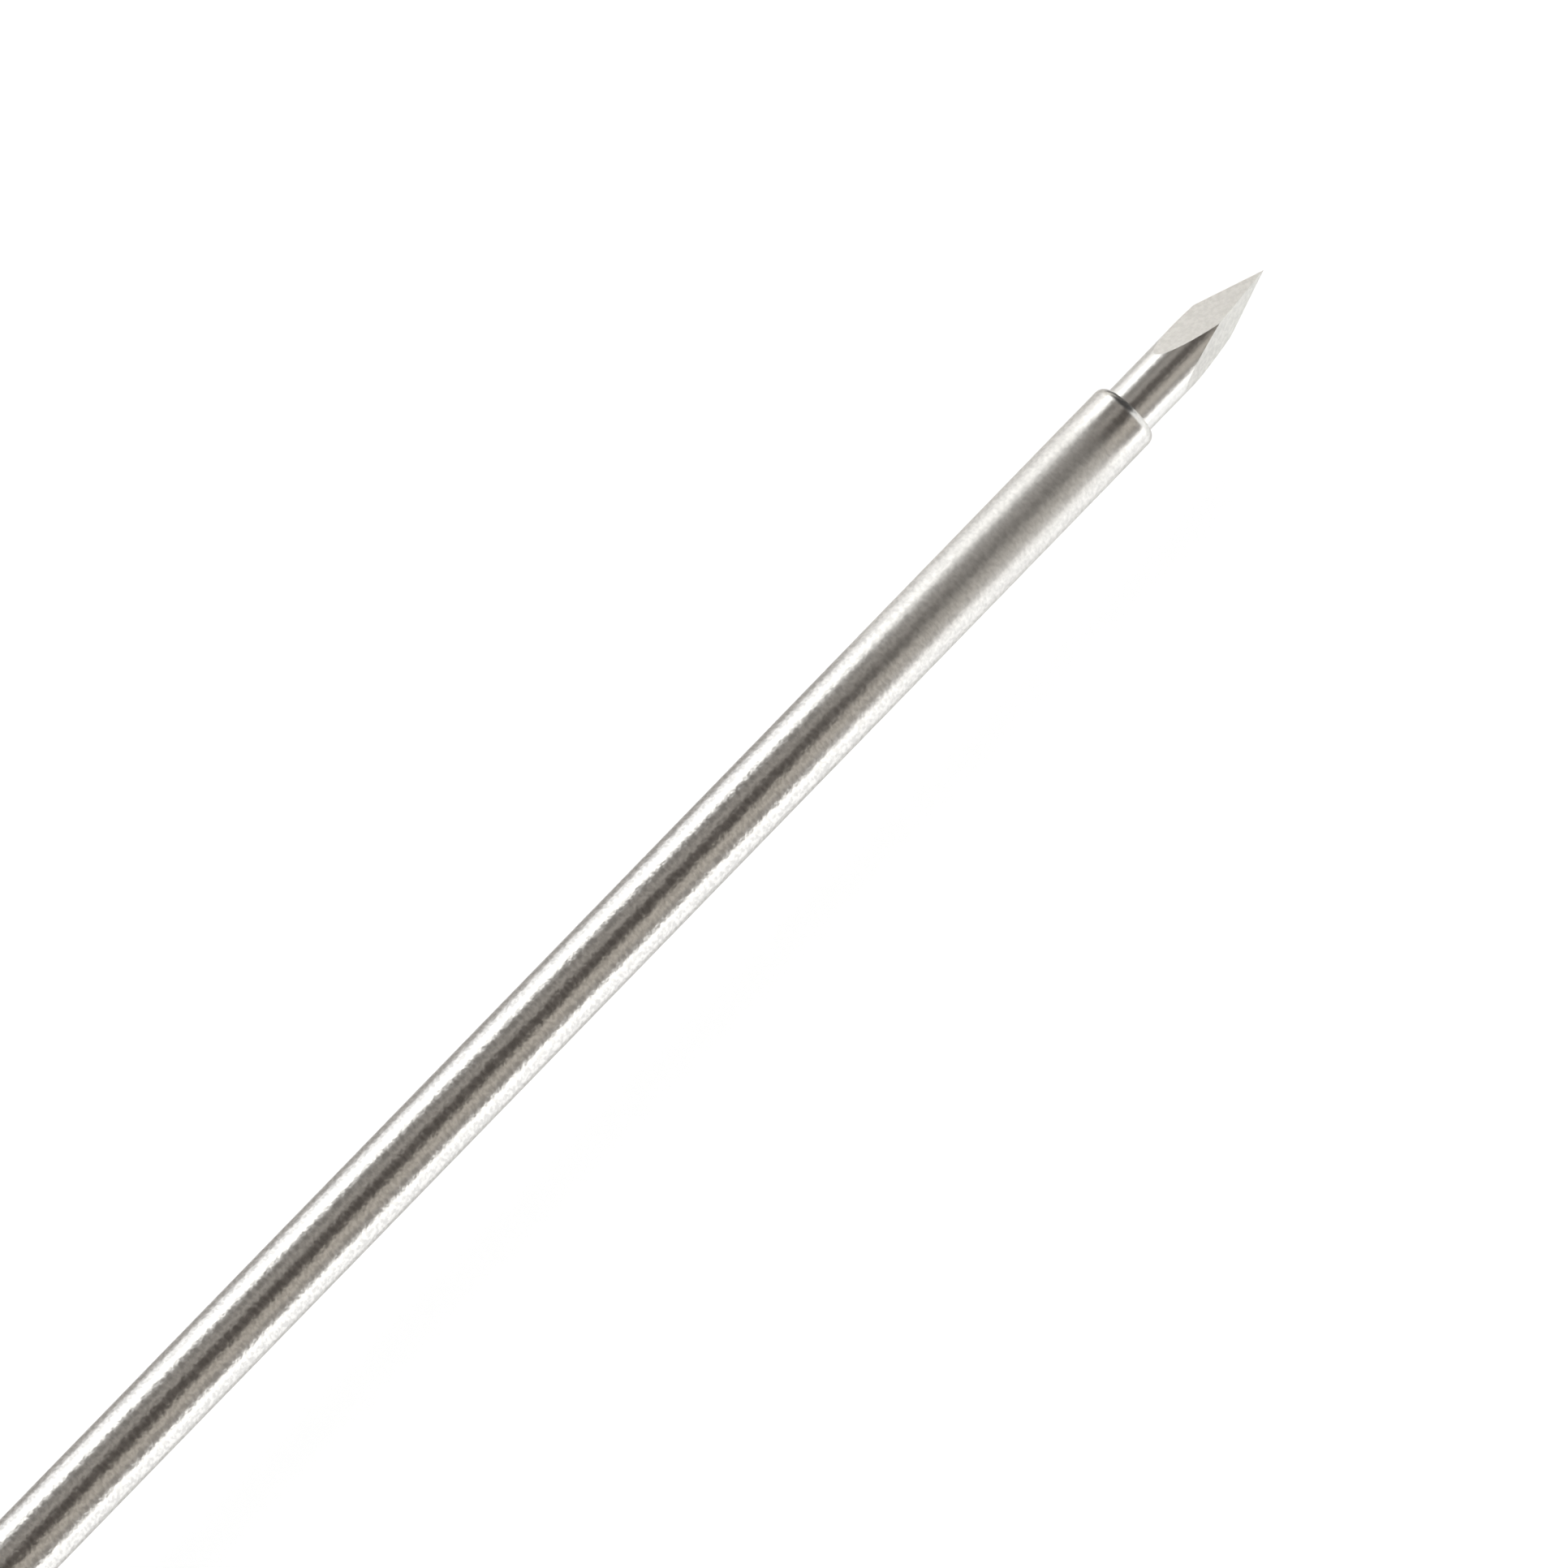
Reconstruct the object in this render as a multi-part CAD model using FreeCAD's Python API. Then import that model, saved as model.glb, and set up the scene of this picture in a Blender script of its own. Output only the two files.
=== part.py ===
import FreeCAD, Part
import math
import os

from FreeCAD import Vector

# Trocar needle, 11 gauge: a steel cannula in a two-shell T-handle, with a locking stylet.
# The needle lies along X with its point towards +X, and +Z is up.
# The origin is the centre of the cannula's distal rim, from which depths are measured.

# Needle
tube_outer_d = 3.048
tube_inner_d = 2.388
cannula_reach = 100.0
rim_round = 0.30
stylet_d = 2.34
point_reach = 8.17
apex_runout = 0.06

# The point's three facets, as ground: where each one faces, turned from straight up towards -Y,
# and its angle to the axis
facet_bearings = (68.0, 194.0, 312.0)
facet_angles = (11.7, 10.5, 10.9)

# Fits
bond_gap = 0.02
assembly_gap = 0.05
slip_gap = 0.02
turn_gap = 0.05
face_gap = 0.05
rest_gap = 0.30

# How far a cutter reaches past what it cuts, and a joined form into its neighbour
overshoot = 1.0
overlap = 0.5
same_place = 1e-4

# Handle shells
handle_depth = 38.0
handle_thickness = 18.0
wing_span = 76.0
wing_end_r = 6.2
palm_r = 110.0
finger_r = 16.0
stem_width = 17.0
stem_corner_r = 5.0
edge_round = 4.0
wall = 2.2
lip_width = 0.8
lip_height = 1.0
rib_width = 16.0
rib_thickness = 1.5
pin_r = 1.25
pin_length = 4.0
boss_wall = 1.4
boss_spacing_inner = 26.0
boss_spacing_outer = 58.0
boss_setback = 12.0

# Nose ring
nose_length = 8.0
nose_front_r = 2.6
nose_rear_r = 5.0
nose_shoulder = 2.5
nose_shoulder_r = 4.6
nose_edge = 0.4
spigot_r = 3.8
spigot_length = 5.5

# Finger pads
pad_depth = 1.0
pad_proud = 0.3
pad_height = 9.6
pad_edge = 0.3
pad_inset = 1.5
pad_groove_r = 0.45
pad_groove_count = 6

# Cannula collar
collar_gap = 2.0
collar_length = 5.0
collar_r = 4.5
collar_flat_width = 7.2

# Luer port
port_reach = 8.0
port_mouth_r = 2.15
taper_slope = 0.03
taper_depth = 9.0
funnel_depth = 2.0
lumen_land = 3.0
socket_length = 5.0
socket_boss_r = 3.2
ear_r = 3.9
ear_length = 1.4
ear_arc = 76.0
neck_r = 3.35
port_body_r = 4.0
flange_r = 6.5
flange_thickness = 1.8
flange_flat_width = 10.0
gasket_r = 5.2
gasket_thickness = 1.0

# Lock ring
ring_r = 6.0
ring_web = 3.0
ring_edge = 0.3
skirt_bore_r = 4.25
lug_bore_r = 3.55
lug_length = 1.2
lug_arc = 64.0
ring_palm_gap = 1.2
grip_r = 7.2
grip_inset = 0.8
grip_edge = 0.3
grip_flute_r = 0.7
grip_flute_count = 18

# Stylet core
core_mouth_gap = 0.3
core_flange_r = 3.6
core_flange_thickness = 1.2
journal_r = 3.0
stem_flat_width = 4.8
stem_seat = 7.0
male_taper_length = 7.5
male_taper_edge = 0.25

# Stylet cap
cap_width = 30.0
cap_height = 17.4
cap_depth = 15.0
cap_round = 3.5
cap_inner_chamfer = 2.0
cap_wall = 1.8
plate_thickness = 2.0
plate_spigot = 1.5
plate_edge = 0.6
cap_boss_wall = 1.6
band_depth = 0.9
band_proud = 0.25
band_width = 6.0
band_setback = 3.0
band_edge = 0.25
tongue_spacing = 21.0
tongue_width = 3.0
tongue_height = 6.0
tongue_entry = 3.0
tongue_gap = 0.2
tongue_end_gap = 1.0
tongue_lead = 0.5

# Anvil and strike plate
anvil_r = 2.6
anvil_engagement = 6.0
plate_r = 5.0
plate_seat_wall = 1.2
strike_thickness = 1.2
strike_edge = 0.3

# Depth stop
stop_length = 9.0
stop_flange_r = 7.5
stop_flange_thickness = 1.6
stop_edge = 0.5
stop_waist_r = 3.9
stop_rear_r = 5.2
grommet_r = 2.5
grommet_lip_r = 3.1
grommet_lip = 0.8
park_groove_width = 0.8
park_groove_depth = 0.06

# Places along the axis
tube_r = tube_outer_d / 2
lumen_r = tube_inner_d / 2
stylet_r = stylet_d / 2
nose_x = -cannula_reach
front_x = nose_x - nose_length
palm_x = nose_x - handle_depth
half_height = handle_thickness / 2
mouth_x = palm_x - port_reach
taper_end_x = mouth_x + taper_depth
funnel_end_x = taper_end_x + funnel_depth
cannula_rear_x = funnel_end_x + lumen_land
port_front_x = cannula_rear_x + socket_length
collar_rear_x = port_front_x + collar_gap
collar_front_x = collar_rear_x + collar_length
flange_rear_x = palm_x + wall + 2 * face_gap
flange_front_x = flange_rear_x + flange_thickness
core_flange_x = mouth_x - core_mouth_gap
journal_front_x = core_flange_x - core_flange_thickness
web_front_x = journal_front_x - rest_gap / 2
web_rear_x = web_front_x - ring_web
plate_front_x = web_rear_x - rest_gap
plate_rear_x = plate_front_x - plate_thickness
cap_rear_x = plate_rear_x - cap_depth
core_rear_x = plate_rear_x - stem_seat
anvil_front_x = core_rear_x - face_gap
strike_front_x = cap_rear_x + strike_thickness
anvil_rear_x = strike_front_x + face_gap
stylet_rear_x = anvil_front_x - anvil_engagement
band_rear_x = cap_rear_x + cap_round + band_setback
band_front_x = band_rear_x + band_width
ring_front_x = palm_x - ring_palm_gap
stop_rear_x = nose_x + rest_gap
stop_front_x = stop_rear_x + stop_length
far = 2 * wing_span


def rod(x0, x1, r):
    """Round bar along the needle's axis."""
    return Part.makeCylinder(r, x1 - x0, Vector(x0, 0, 0), Vector(1, 0, 0))


def tube(x0, x1, r_out, r_in):
    """Round bar with a hole right through."""
    return rod(x0, x1, r_out).cut(rod(x0 - overshoot, x1 + overshoot, r_in))


def turned(profile):
    """Solid of revolution about the needle's axis from (x, radius) points."""
    points = [Vector(x, r, 0) for x, r in profile]
    face = Part.Face(Part.makePolygon(points + points[:1]))
    return face.revolve(Vector(0, 0, 0), Vector(1, 0, 0), 360)


def block(x0, x1, y0, y1, z0, z1):
    """Box between two corners."""
    return Part.makeBox(x1 - x0, y1 - y0, z1 - z0, Vector(x0, y0, z0))


def flatted(x0, x1, r, width):
    """Round bar with two flats, above and below."""
    return rod(x0, x1, r).common(block(x0, x1, -r, r, -width / 2, width / 2))


def sector(x0, x1, r_out, r_in, arc, centre_angle):
    """Part of a ring, arc degrees wide about an angle from +Y towards +Z."""
    start = math.radians(centre_angle - arc / 2)
    end = math.radians(centre_angle + arc / 2)
    middle = math.radians(centre_angle)

    def at(r, a):
        return Vector(x0, r * math.cos(a), r * math.sin(a))

    edges = [
        Part.Arc(at(r_out, start), at(r_out, middle), at(r_out, end)).toShape(),
        Part.makeLine(at(r_out, end), at(r_in, end)),
        Part.Arc(at(r_in, end), at(r_in, middle), at(r_in, start)).toShape(),
        Part.makeLine(at(r_in, start), at(r_out, start)),
    ]
    return Part.Face(Part.Wire(edges)).extrude(Vector(x1 - x0, 0, 0))


def edges_at(shape, x):
    """The edges that lie wholly in one plane across the axis."""
    return [e for e in shape.Edges if max(abs(e.BoundBox.XMin - x), abs(e.BoundBox.XMax - x)) < same_place]


def polar(centre, r, angle):
    """Point of the handle's plan at an angle in radians from +X."""
    return Vector(centre.x + r * math.cos(angle), centre.y + r * math.sin(angle), 0)


def bearing(start, end):
    """Angle in radians of the line from one plan point to another."""
    return math.atan2(end.y - start.y, end.x - start.x)


def wing_centres():
    """Centres of the plan's arcs: the stem's corner, the finger hollow, the wing's end and the palm side.

    Neighbouring arcs are tangent, so the finger hollow's centre is where two circles meet.
    """
    corner = Vector(front_x - stem_corner_r, stem_width / 2 - stem_corner_r, 0)
    palm = Vector(palm_x + palm_r, 0, 0)
    end_y = wing_span / 2 - wing_end_r
    end = Vector(palm.x - math.sqrt((palm_r - wing_end_r) ** 2 - end_y**2), end_y, 0)
    to_end = finger_r + wing_end_r
    to_corner = finger_r + stem_corner_r
    span = end.distanceToPoint(corner)
    along = (to_end**2 - to_corner**2 + span**2) / (2 * span)
    off = math.sqrt(to_end**2 - along**2)
    ux, uy = (corner.x - end.x) / span, (corner.y - end.y) / span
    finger = Vector(end.x + along * ux - off * uy, end.y + along * uy + off * ux, 0)
    return corner, finger, end, palm


def handle_outline(inset):
    """The handle's plan, all arcs, moved inwards by an inset."""
    corner, finger, end, palm = wing_centres()
    corner_r = stem_corner_r - inset
    hollow_r = finger_r + inset
    end_r = wing_end_r - inset
    to_finger = bearing(corner, finger)
    from_corner = bearing(finger, corner) % (2 * math.pi)
    from_end = bearing(finger, end) % (2 * math.pi)
    to_hollow = bearing(end, finger)
    to_palm = bearing(palm, end)

    def half(side):
        def place(p):
            return Vector(p.x, side * p.y, 0)

        def arc(centre, r, a0, a1):
            ends = (polar(centre, r, a) for a in (a0, (a0 + a1) / 2, a1))
            return Part.Arc(*[place(p) for p in ends]).toShape()

        return [
            arc(corner, corner_r, 0, to_finger),
            arc(finger, hollow_r, from_corner, from_end),
            arc(end, end_r, to_hollow, to_palm),
        ]

    palm_end = polar(palm, palm_r - inset, to_palm)
    palm_arc = Part.Arc(palm_end, Vector(palm_x + inset, 0, 0), Vector(palm_end.x, -palm_end.y, 0))
    front_y = corner.y
    front = Part.makeLine(Vector(front_x - inset, -front_y, 0), Vector(front_x - inset, front_y, 0))
    edges = half(1) + [palm_arc.toShape()] + half(-1) + [front]
    return Part.Wire(Part.sortEdges(edges)[0])


def handle_body(inset):
    """The handle's outer form moved inwards by an inset, with its long edges rounded."""
    height = half_height - inset
    solid = Part.Face(handle_outline(inset)).extrude(Vector(0, 0, 2 * height))
    solid.translate(Vector(0, 0, -height))
    rims = [e for e in solid.Edges if abs(e.BoundBox.ZMax - e.BoundBox.ZMin) < same_place]
    return solid.makeFillet(edge_round - inset, rims)


def handle_prism(inset, z0, z1):
    """Straight-sided slice of the handle's plan."""
    solid = Part.Face(handle_outline(inset)).extrude(Vector(0, 0, z1 - z0))
    solid.translate(Vector(0, 0, z0))
    return solid


def pad_ends():
    """How far out along the wing a pad starts and stops, just short of where the hollow's arc does."""
    corner, finger, end, _ = wing_centres()
    start = polar(corner, stem_corner_r, bearing(corner, finger)).y
    stop = polar(end, wing_end_r, bearing(end, finger)).y
    return start + pad_inset, stop - pad_inset


def pad_band(side, proud, depth, margin):
    """The strip of one finger hollow that its pad fills, from proud of the wing to a depth in it."""
    _, finger, _, _ = wing_centres()
    start, stop = pad_ends()
    centre = Vector(finger.x, side * finger.y, -pad_height / 2 - margin)
    height = pad_height + 2 * margin
    up = Vector(0, 0, 1)
    band = Part.makeCylinder(finger_r + depth, height, centre, up)
    band = band.cut(Part.makeCylinder(finger_r - proud, height, centre, up))
    near = start - margin
    out = stop + margin
    y0, y1 = (near, out) if side > 0 else (-out, -near)
    return band.common(block(palm_x, finger.x, y0, y1, -half_height, half_height))


def finger_pad(side):
    """Soft pad let into the finger side of one wing, with grip grooves across it."""
    pad = pad_band(side, pad_proud, pad_depth, 0)
    _, finger, _, _ = wing_centres()
    start, stop = pad_ends()
    rims = [
        e for e in pad.Edges
        if abs(e.BoundBox.ZMax - e.BoundBox.ZMin) < same_place and e.Curve.TypeId == "Part::GeomCircle"
        and abs(e.Curve.Radius - (finger_r - pad_proud)) < same_place
    ]
    pad = pad.makeChamfer(pad_edge, rims)
    for i in range(pad_groove_count):
        y = start + (i + 1) * (stop - start) / (pad_groove_count + 1)
        dy = y - finger.y
        x = finger.x - math.sqrt((finger_r - pad_proud) ** 2 - dy**2)
        foot = Vector(x, side * y, -half_height)
        pad = pad.cut(Part.makeCylinder(pad_groove_r, 2 * half_height, foot, Vector(0, 0, 1)))
    return pad


def shell_ribs():
    """Cross walls that hold the collar and the port's flange, before their seats are cut."""
    fronts = (
        collar_front_x + face_gap + rib_thickness,
        collar_rear_x - face_gap,
        flange_front_x + face_gap + rib_thickness,
    )
    return [
        block(x - rib_thickness, x, -rib_width / 2, rib_width / 2, -half_height, half_height) for x in fronts
    ]


def boss_places():
    """Plan places of the pins that join the shells."""
    _, _, end, _ = wing_centres()
    inner_x = palm_x + boss_setback
    places = []
    for side in (1, -1):
        places.append((inner_x, side * boss_spacing_inner / 2))
        places.append((end.x, side * boss_spacing_outer / 2))
    return places


def shell_seats():
    """What passes through or seats inside the shells, with its clearance."""
    seats = [
        rod(palm_x, nose_x, tube_r + assembly_gap),
        flatted(collar_rear_x - face_gap, collar_front_x + face_gap, collar_r + assembly_gap,
                collar_flat_width + 2 * assembly_gap),
        rod(palm_x - overshoot, flange_front_x, port_body_r + assembly_gap),
        rod(flange_front_x, port_front_x + face_gap, socket_boss_r + assembly_gap),
        flatted(flange_rear_x - face_gap, flange_front_x + face_gap, flange_r + assembly_gap,
                flange_flat_width + 2 * assembly_gap),
        rod(palm_x - overshoot, palm_x + gasket_thickness + face_gap, gasket_r + assembly_gap),
    ]
    slot_end_x = palm_x + tongue_entry + tongue_end_gap
    slot_y = tongue_width / 2 + tongue_gap
    slot_z = tongue_height / 2 + tongue_gap
    for side in (1, -1):
        y = side * tongue_spacing / 2
        seats.append(block(palm_x - overshoot, slot_end_x, y - slot_y, y + slot_y, -slot_z, slot_z))
    for side in (1, -1):
        seats.append(pad_band(side, wing_end_r, pad_depth + face_gap, face_gap))
    return seats


def handle_shell(is_upper):
    """One half of the handle: walls, ribs, bosses, the nose spigot and a joint lip."""
    outer = handle_body(0).fuse(rod(front_x - overlap, front_x + spigot_length, spigot_r))
    inside = handle_prism(wall, wall - half_height, half_height - wall)
    added = [rib.common(inside) for rib in shell_ribs()]
    up = Vector(0, 0, 1)
    for x, y in boss_places():
        boss = Part.makeCylinder(pin_r + boss_wall, handle_thickness, Vector(x, y, -half_height), up)
        added.append(boss.common(inside))
    solid = outer.cut(inside).multiFuse(added)
    half = block(palm_x - overshoot, nose_x, -far, far, 0, half_height)
    if not is_upper:
        half = half.mirror(Vector(0, 0, 0), Vector(0, 0, 1))
    solid = solid.common(half)

    lip_inset = pad_depth + 2 * face_gap
    lip_core = handle_prism(lip_inset + lip_width, -overshoot, lip_height + overshoot)
    lip = handle_prism(lip_inset, 0, lip_height).cut(lip_core)
    groove_core = handle_prism(lip_inset + lip_width + face_gap, -2 * overshoot, lip_height + overshoot)
    groove = handle_prism(lip_inset - face_gap, -overshoot, lip_height + face_gap).cut(groove_core)
    solid = solid.cut(groove) if is_upper else solid.fuse(lip)
    down = Vector(0, 0, -1)
    for x, y in boss_places():
        if is_upper:
            pin = Part.makeCylinder(pin_r, pin_length + boss_wall, Vector(x, y, boss_wall), down)
            solid = solid.fuse(pin)
        else:
            socket = Part.makeCylinder(pin_r + assembly_gap, pin_length + 2 * face_gap, Vector(x, y, 0), down)
            solid = solid.cut(socket)
    for seat in shell_seats():
        solid = solid.cut(seat)
    return solid.removeSplitter()


def nose_ring():
    """Tapered ring that ties the shells' spigot together round the cannula."""
    bore_r = tube_r + assembly_gap
    cup_r = spigot_r + assembly_gap
    step_x = front_x + spigot_length + face_gap
    return turned([
        (nose_x, nose_front_r - nose_edge), (nose_x, bore_r), (step_x, bore_r), (step_x, cup_r),
        (front_x, cup_r), (front_x, nose_rear_r), (front_x + nose_shoulder, nose_shoulder_r),
        (nose_x - nose_edge, nose_front_r),
    ])


def cannula():
    """Steel tube with a rounded distal rim and a shallow ring where the depth stop parks."""
    solid = tube(cannula_rear_x, 0, tube_r, lumen_r)
    rim = [e for e in edges_at(solid, 0) if abs(e.Curve.Radius - tube_r) < same_place]
    solid = solid.makeFillet(rim_round, rim)
    groove_rear_x = stop_front_x - park_groove_width
    groove = turned([
        (stop_front_x, tube_r + overshoot), (stop_front_x, tube_r),
        (stop_front_x - park_groove_width / 2, tube_r - park_groove_depth),
        (groove_rear_x, tube_r), (groove_rear_x, tube_r + overshoot),
    ])
    return solid.cut(groove)


def cannula_collar():
    """Steel collar bonded to the cannula, with flats that stop it turning in the handle."""
    solid = flatted(collar_rear_x, collar_front_x, collar_r, collar_flat_width)
    return solid.cut(rod(collar_rear_x - overshoot, collar_front_x + overshoot, tube_r + bond_gap))


def luer_port():
    """Female tapered port with two locking ears, a keyed flange and the cannula's socket."""
    taper_end_r = port_mouth_r - taper_slope * taper_depth
    neck_end_x = palm_x - face_gap
    solid = turned([
        (mouth_x, port_mouth_r), (mouth_x, neck_r), (neck_end_x, neck_r), (neck_end_x, port_body_r),
        (flange_front_x, port_body_r), (flange_front_x, socket_boss_r), (port_front_x, socket_boss_r),
        (port_front_x, tube_r + bond_gap), (cannula_rear_x - face_gap, tube_r + bond_gap),
        (cannula_rear_x - face_gap, lumen_r), (funnel_end_x, lumen_r), (taper_end_x, taper_end_r),
    ])
    flange = flatted(flange_rear_x, flange_front_x, flange_r, flange_flat_width)
    hub = rod(flange_rear_x - overshoot, flange_front_x + overshoot, port_body_r - overlap)
    solid = solid.fuse(flange.cut(hub))
    for angle in (0, 180):
        solid = solid.fuse(sector(mouth_x, mouth_x + ear_length, ear_r, neck_r - overlap, ear_arc, angle))
    return solid.removeSplitter()


def port_gasket():
    """Soft ring that closes the gap between the port and the palm side of the handle."""
    return tube(palm_x + face_gap / 2, palm_x + gasket_thickness, gasket_r, port_body_r + bond_gap)


def facet_cutter(faces, angle):
    """Half space outside one ground facet, whose plane passes through the point."""
    around = math.radians(faces)
    lean = math.radians(angle)
    outward = Vector(math.sin(lean), -math.sin(around) * math.cos(lean), math.cos(around) * math.cos(lean))
    size = 4 * point_reach
    cutter = Part.makeBox(size, size, size, Vector(-size / 2, -size / 2, 0))
    apex = Vector(point_reach, apex_runout, 0)
    cutter.Placement = FreeCAD.Placement(apex, FreeCAD.Rotation(Vector(0, 0, 1), outward))
    return cutter


def stylet():
    """Solid rod with a three-sided trocar point, its facets ground from the round bar."""
    solid = rod(stylet_rear_x, point_reach, stylet_r)
    for faces, angle in zip(facet_bearings, facet_angles):
        solid = solid.cut(facet_cutter(faces, angle))
    return solid


def stylet_core():
    """Male taper, flange and journal bonded to the stylet, with a flatted stem for the cap."""
    tip_x = mouth_x + male_taper_length

    def taper_r(x):
        return port_mouth_r - taper_slope * (x - mouth_x) - slip_gap

    bore_r = stylet_r + bond_gap
    solid = turned([
        (tip_x, bore_r), (tip_x, taper_r(tip_x) - male_taper_edge),
        (tip_x - male_taper_edge, taper_r(tip_x - male_taper_edge)), (core_flange_x, taper_r(core_flange_x)),
        (core_flange_x, core_flange_r), (journal_front_x, core_flange_r), (journal_front_x, journal_r),
        (plate_front_x, journal_r), (plate_front_x, bore_r),
    ])
    stem = flatted(core_rear_x, plate_front_x, journal_r, stem_flat_width)
    stem = stem.cut(rod(core_rear_x - overshoot, plate_front_x + overshoot, bore_r))
    return solid.fuse(stem).removeSplitter()


def cap_section(x, inset):
    """The cap's cross section: two half rounds joined by flats."""
    r = cap_height / 2 - inset
    y = (cap_width - cap_height) / 2
    edges = [
        Part.Arc(Vector(x, y, -r), Vector(x, y + r, 0), Vector(x, y, r)).toShape(),
        Part.makeLine(Vector(x, y, r), Vector(x, -y, r)),
        Part.Arc(Vector(x, -y, r), Vector(x, -y - r, 0), Vector(x, -y, -r)).toShape(),
        Part.makeLine(Vector(x, -y, -r), Vector(x, y, -r)),
    ]
    return Part.Face(Part.Wire(edges))


def cap_slice(x0, x1, inset):
    """Straight length of the cap's section."""
    return cap_section(x0, inset).extrude(Vector(x1 - x0, 0, 0))


def stylet_cap():
    """Hollow moulded cap with a keyed boss for the core, the anvil's bore and the strike plate's seat."""
    solid = cap_slice(cap_rear_x, plate_rear_x, 0)
    solid = solid.makeFillet(cap_round, edges_at(solid, cap_rear_x))
    inner_rear_x = cap_rear_x + cap_wall
    inside = cap_slice(inner_rear_x, plate_rear_x, cap_wall)
    inside = inside.makeChamfer(cap_inner_chamfer, edges_at(inside, inner_rear_x))
    boss_r = journal_r + assembly_gap + cap_boss_wall
    boss_front_x = plate_rear_x - plate_spigot - face_gap
    boss = rod(inner_rear_x - cap_wall / 2, boss_front_x, boss_r)
    seat = rod(cap_rear_x + cap_wall / 2, strike_front_x + plate_seat_wall, plate_r + plate_seat_wall)
    solid = solid.cut(inside).multiFuse([boss, seat])
    band_rear = band_rear_x - face_gap
    band_front = band_front_x + face_gap
    groove_core = cap_slice(band_rear, band_front, band_depth + face_gap)
    solid = solid.cut(cap_slice(band_rear, band_front, -overshoot).cut(groove_core))
    solid = solid.cut(rod(cap_rear_x - overshoot, strike_front_x, plate_r + assembly_gap))
    solid = solid.cut(rod(cap_rear_x, core_rear_x, anvil_r + assembly_gap))
    stem_hole = flatted(core_rear_x - face_gap, boss_front_x + overshoot, journal_r + assembly_gap,
                        stem_flat_width + 2 * assembly_gap)
    return solid.cut(stem_hole).removeSplitter()


def cap_grip_band():
    """Soft band let into the cap's sides."""
    band = cap_slice(band_rear_x, band_front_x, -band_proud)
    rims = edges_at(band, band_rear_x) + edges_at(band, band_front_x)
    band = band.makeChamfer(band_edge, rims)
    return band.cut(cap_slice(band_rear_x - overshoot, band_front_x + overshoot, band_depth))


def cap_front_plate():
    """Plate that closes the cap, with two tongues that key the stylet to the handle."""
    plate = cap_section(plate_rear_x, 0).extrude(Vector(plate_thickness, 0, 0))
    plate = plate.makeChamfer(plate_edge, edges_at(plate, plate_front_x))
    spigot = cap_section(plate_rear_x - plate_spigot, cap_wall + assembly_gap)
    spigot = spigot.extrude(Vector(plate_spigot, 0, 0))
    hollow = cap_section(plate_rear_x - plate_spigot, 2 * cap_wall).extrude(Vector(plate_spigot, 0, 0))
    solid = plate.fuse(spigot.cut(hollow))
    for side in (1, -1):
        y0 = side * tongue_spacing / 2 - tongue_width / 2
        tongue = block(plate_front_x - overlap, palm_x + tongue_entry, y0, y0 + tongue_width,
                       -tongue_height / 2, tongue_height / 2)
        tongue = tongue.makeChamfer(tongue_lead, edges_at(tongue, palm_x + tongue_entry))
        solid = solid.fuse(tongue)
    hole = flatted(plate_rear_x - plate_spigot - overshoot, plate_front_x + overshoot,
                   journal_r + assembly_gap, stem_flat_width + 2 * assembly_gap)
    return solid.cut(hole).removeSplitter()


def stylet_anvil():
    """Steel button on the stylet's end, so that a mallet's blow goes straight to the stylet."""
    solid = rod(anvil_rear_x, anvil_front_x, anvil_r)
    return solid.cut(rod(stylet_rear_x - face_gap, anvil_front_x + overshoot, stylet_r + bond_gap))


def strike_plate():
    """Steel disc flush with the back of the cap."""
    solid = rod(cap_rear_x, strike_front_x - face_gap / 2, plate_r)
    return solid.makeChamfer(strike_edge, edges_at(solid, cap_rear_x))


def lock_ring():
    """Quarter-turn ring on the core's journal, with two lugs that turn behind the port's ears."""
    solid = turned([
        (web_rear_x, journal_r + turn_gap), (web_rear_x, ring_r - ring_edge),
        (web_rear_x + ring_edge, ring_r), (ring_front_x - ring_edge, ring_r),
        (ring_front_x, ring_r - ring_edge), (ring_front_x, skirt_bore_r),
        (web_front_x, skirt_bore_r), (web_front_x, journal_r + turn_gap),
    ])
    lug_rear_x = mouth_x + ear_length + rest_gap
    for angle in (90, 270):
        lug = sector(lug_rear_x, lug_rear_x + lug_length, skirt_bore_r + overlap, lug_bore_r, lug_arc, angle)
        solid = solid.fuse(lug)
    return solid.removeSplitter()


def lock_ring_grip():
    """Soft fluted band round the lock ring."""
    front = ring_front_x - grip_inset
    rear = web_rear_x + grip_inset
    band = turned([
        (rear, ring_r + bond_gap), (rear, grip_r - grip_edge), (rear + grip_edge, grip_r),
        (front - grip_edge, grip_r), (front, grip_r - grip_edge), (front, ring_r + bond_gap),
    ])
    for i in range(grip_flute_count):
        angle = 2 * math.pi * i / grip_flute_count
        start = Vector(rear - overshoot, grip_r * math.cos(angle), grip_r * math.sin(angle))
        flute = Part.makeCylinder(grip_flute_r, front - rear + 2 * overshoot, start, Vector(1, 0, 0))
        band = band.cut(flute)
    return band


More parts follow.
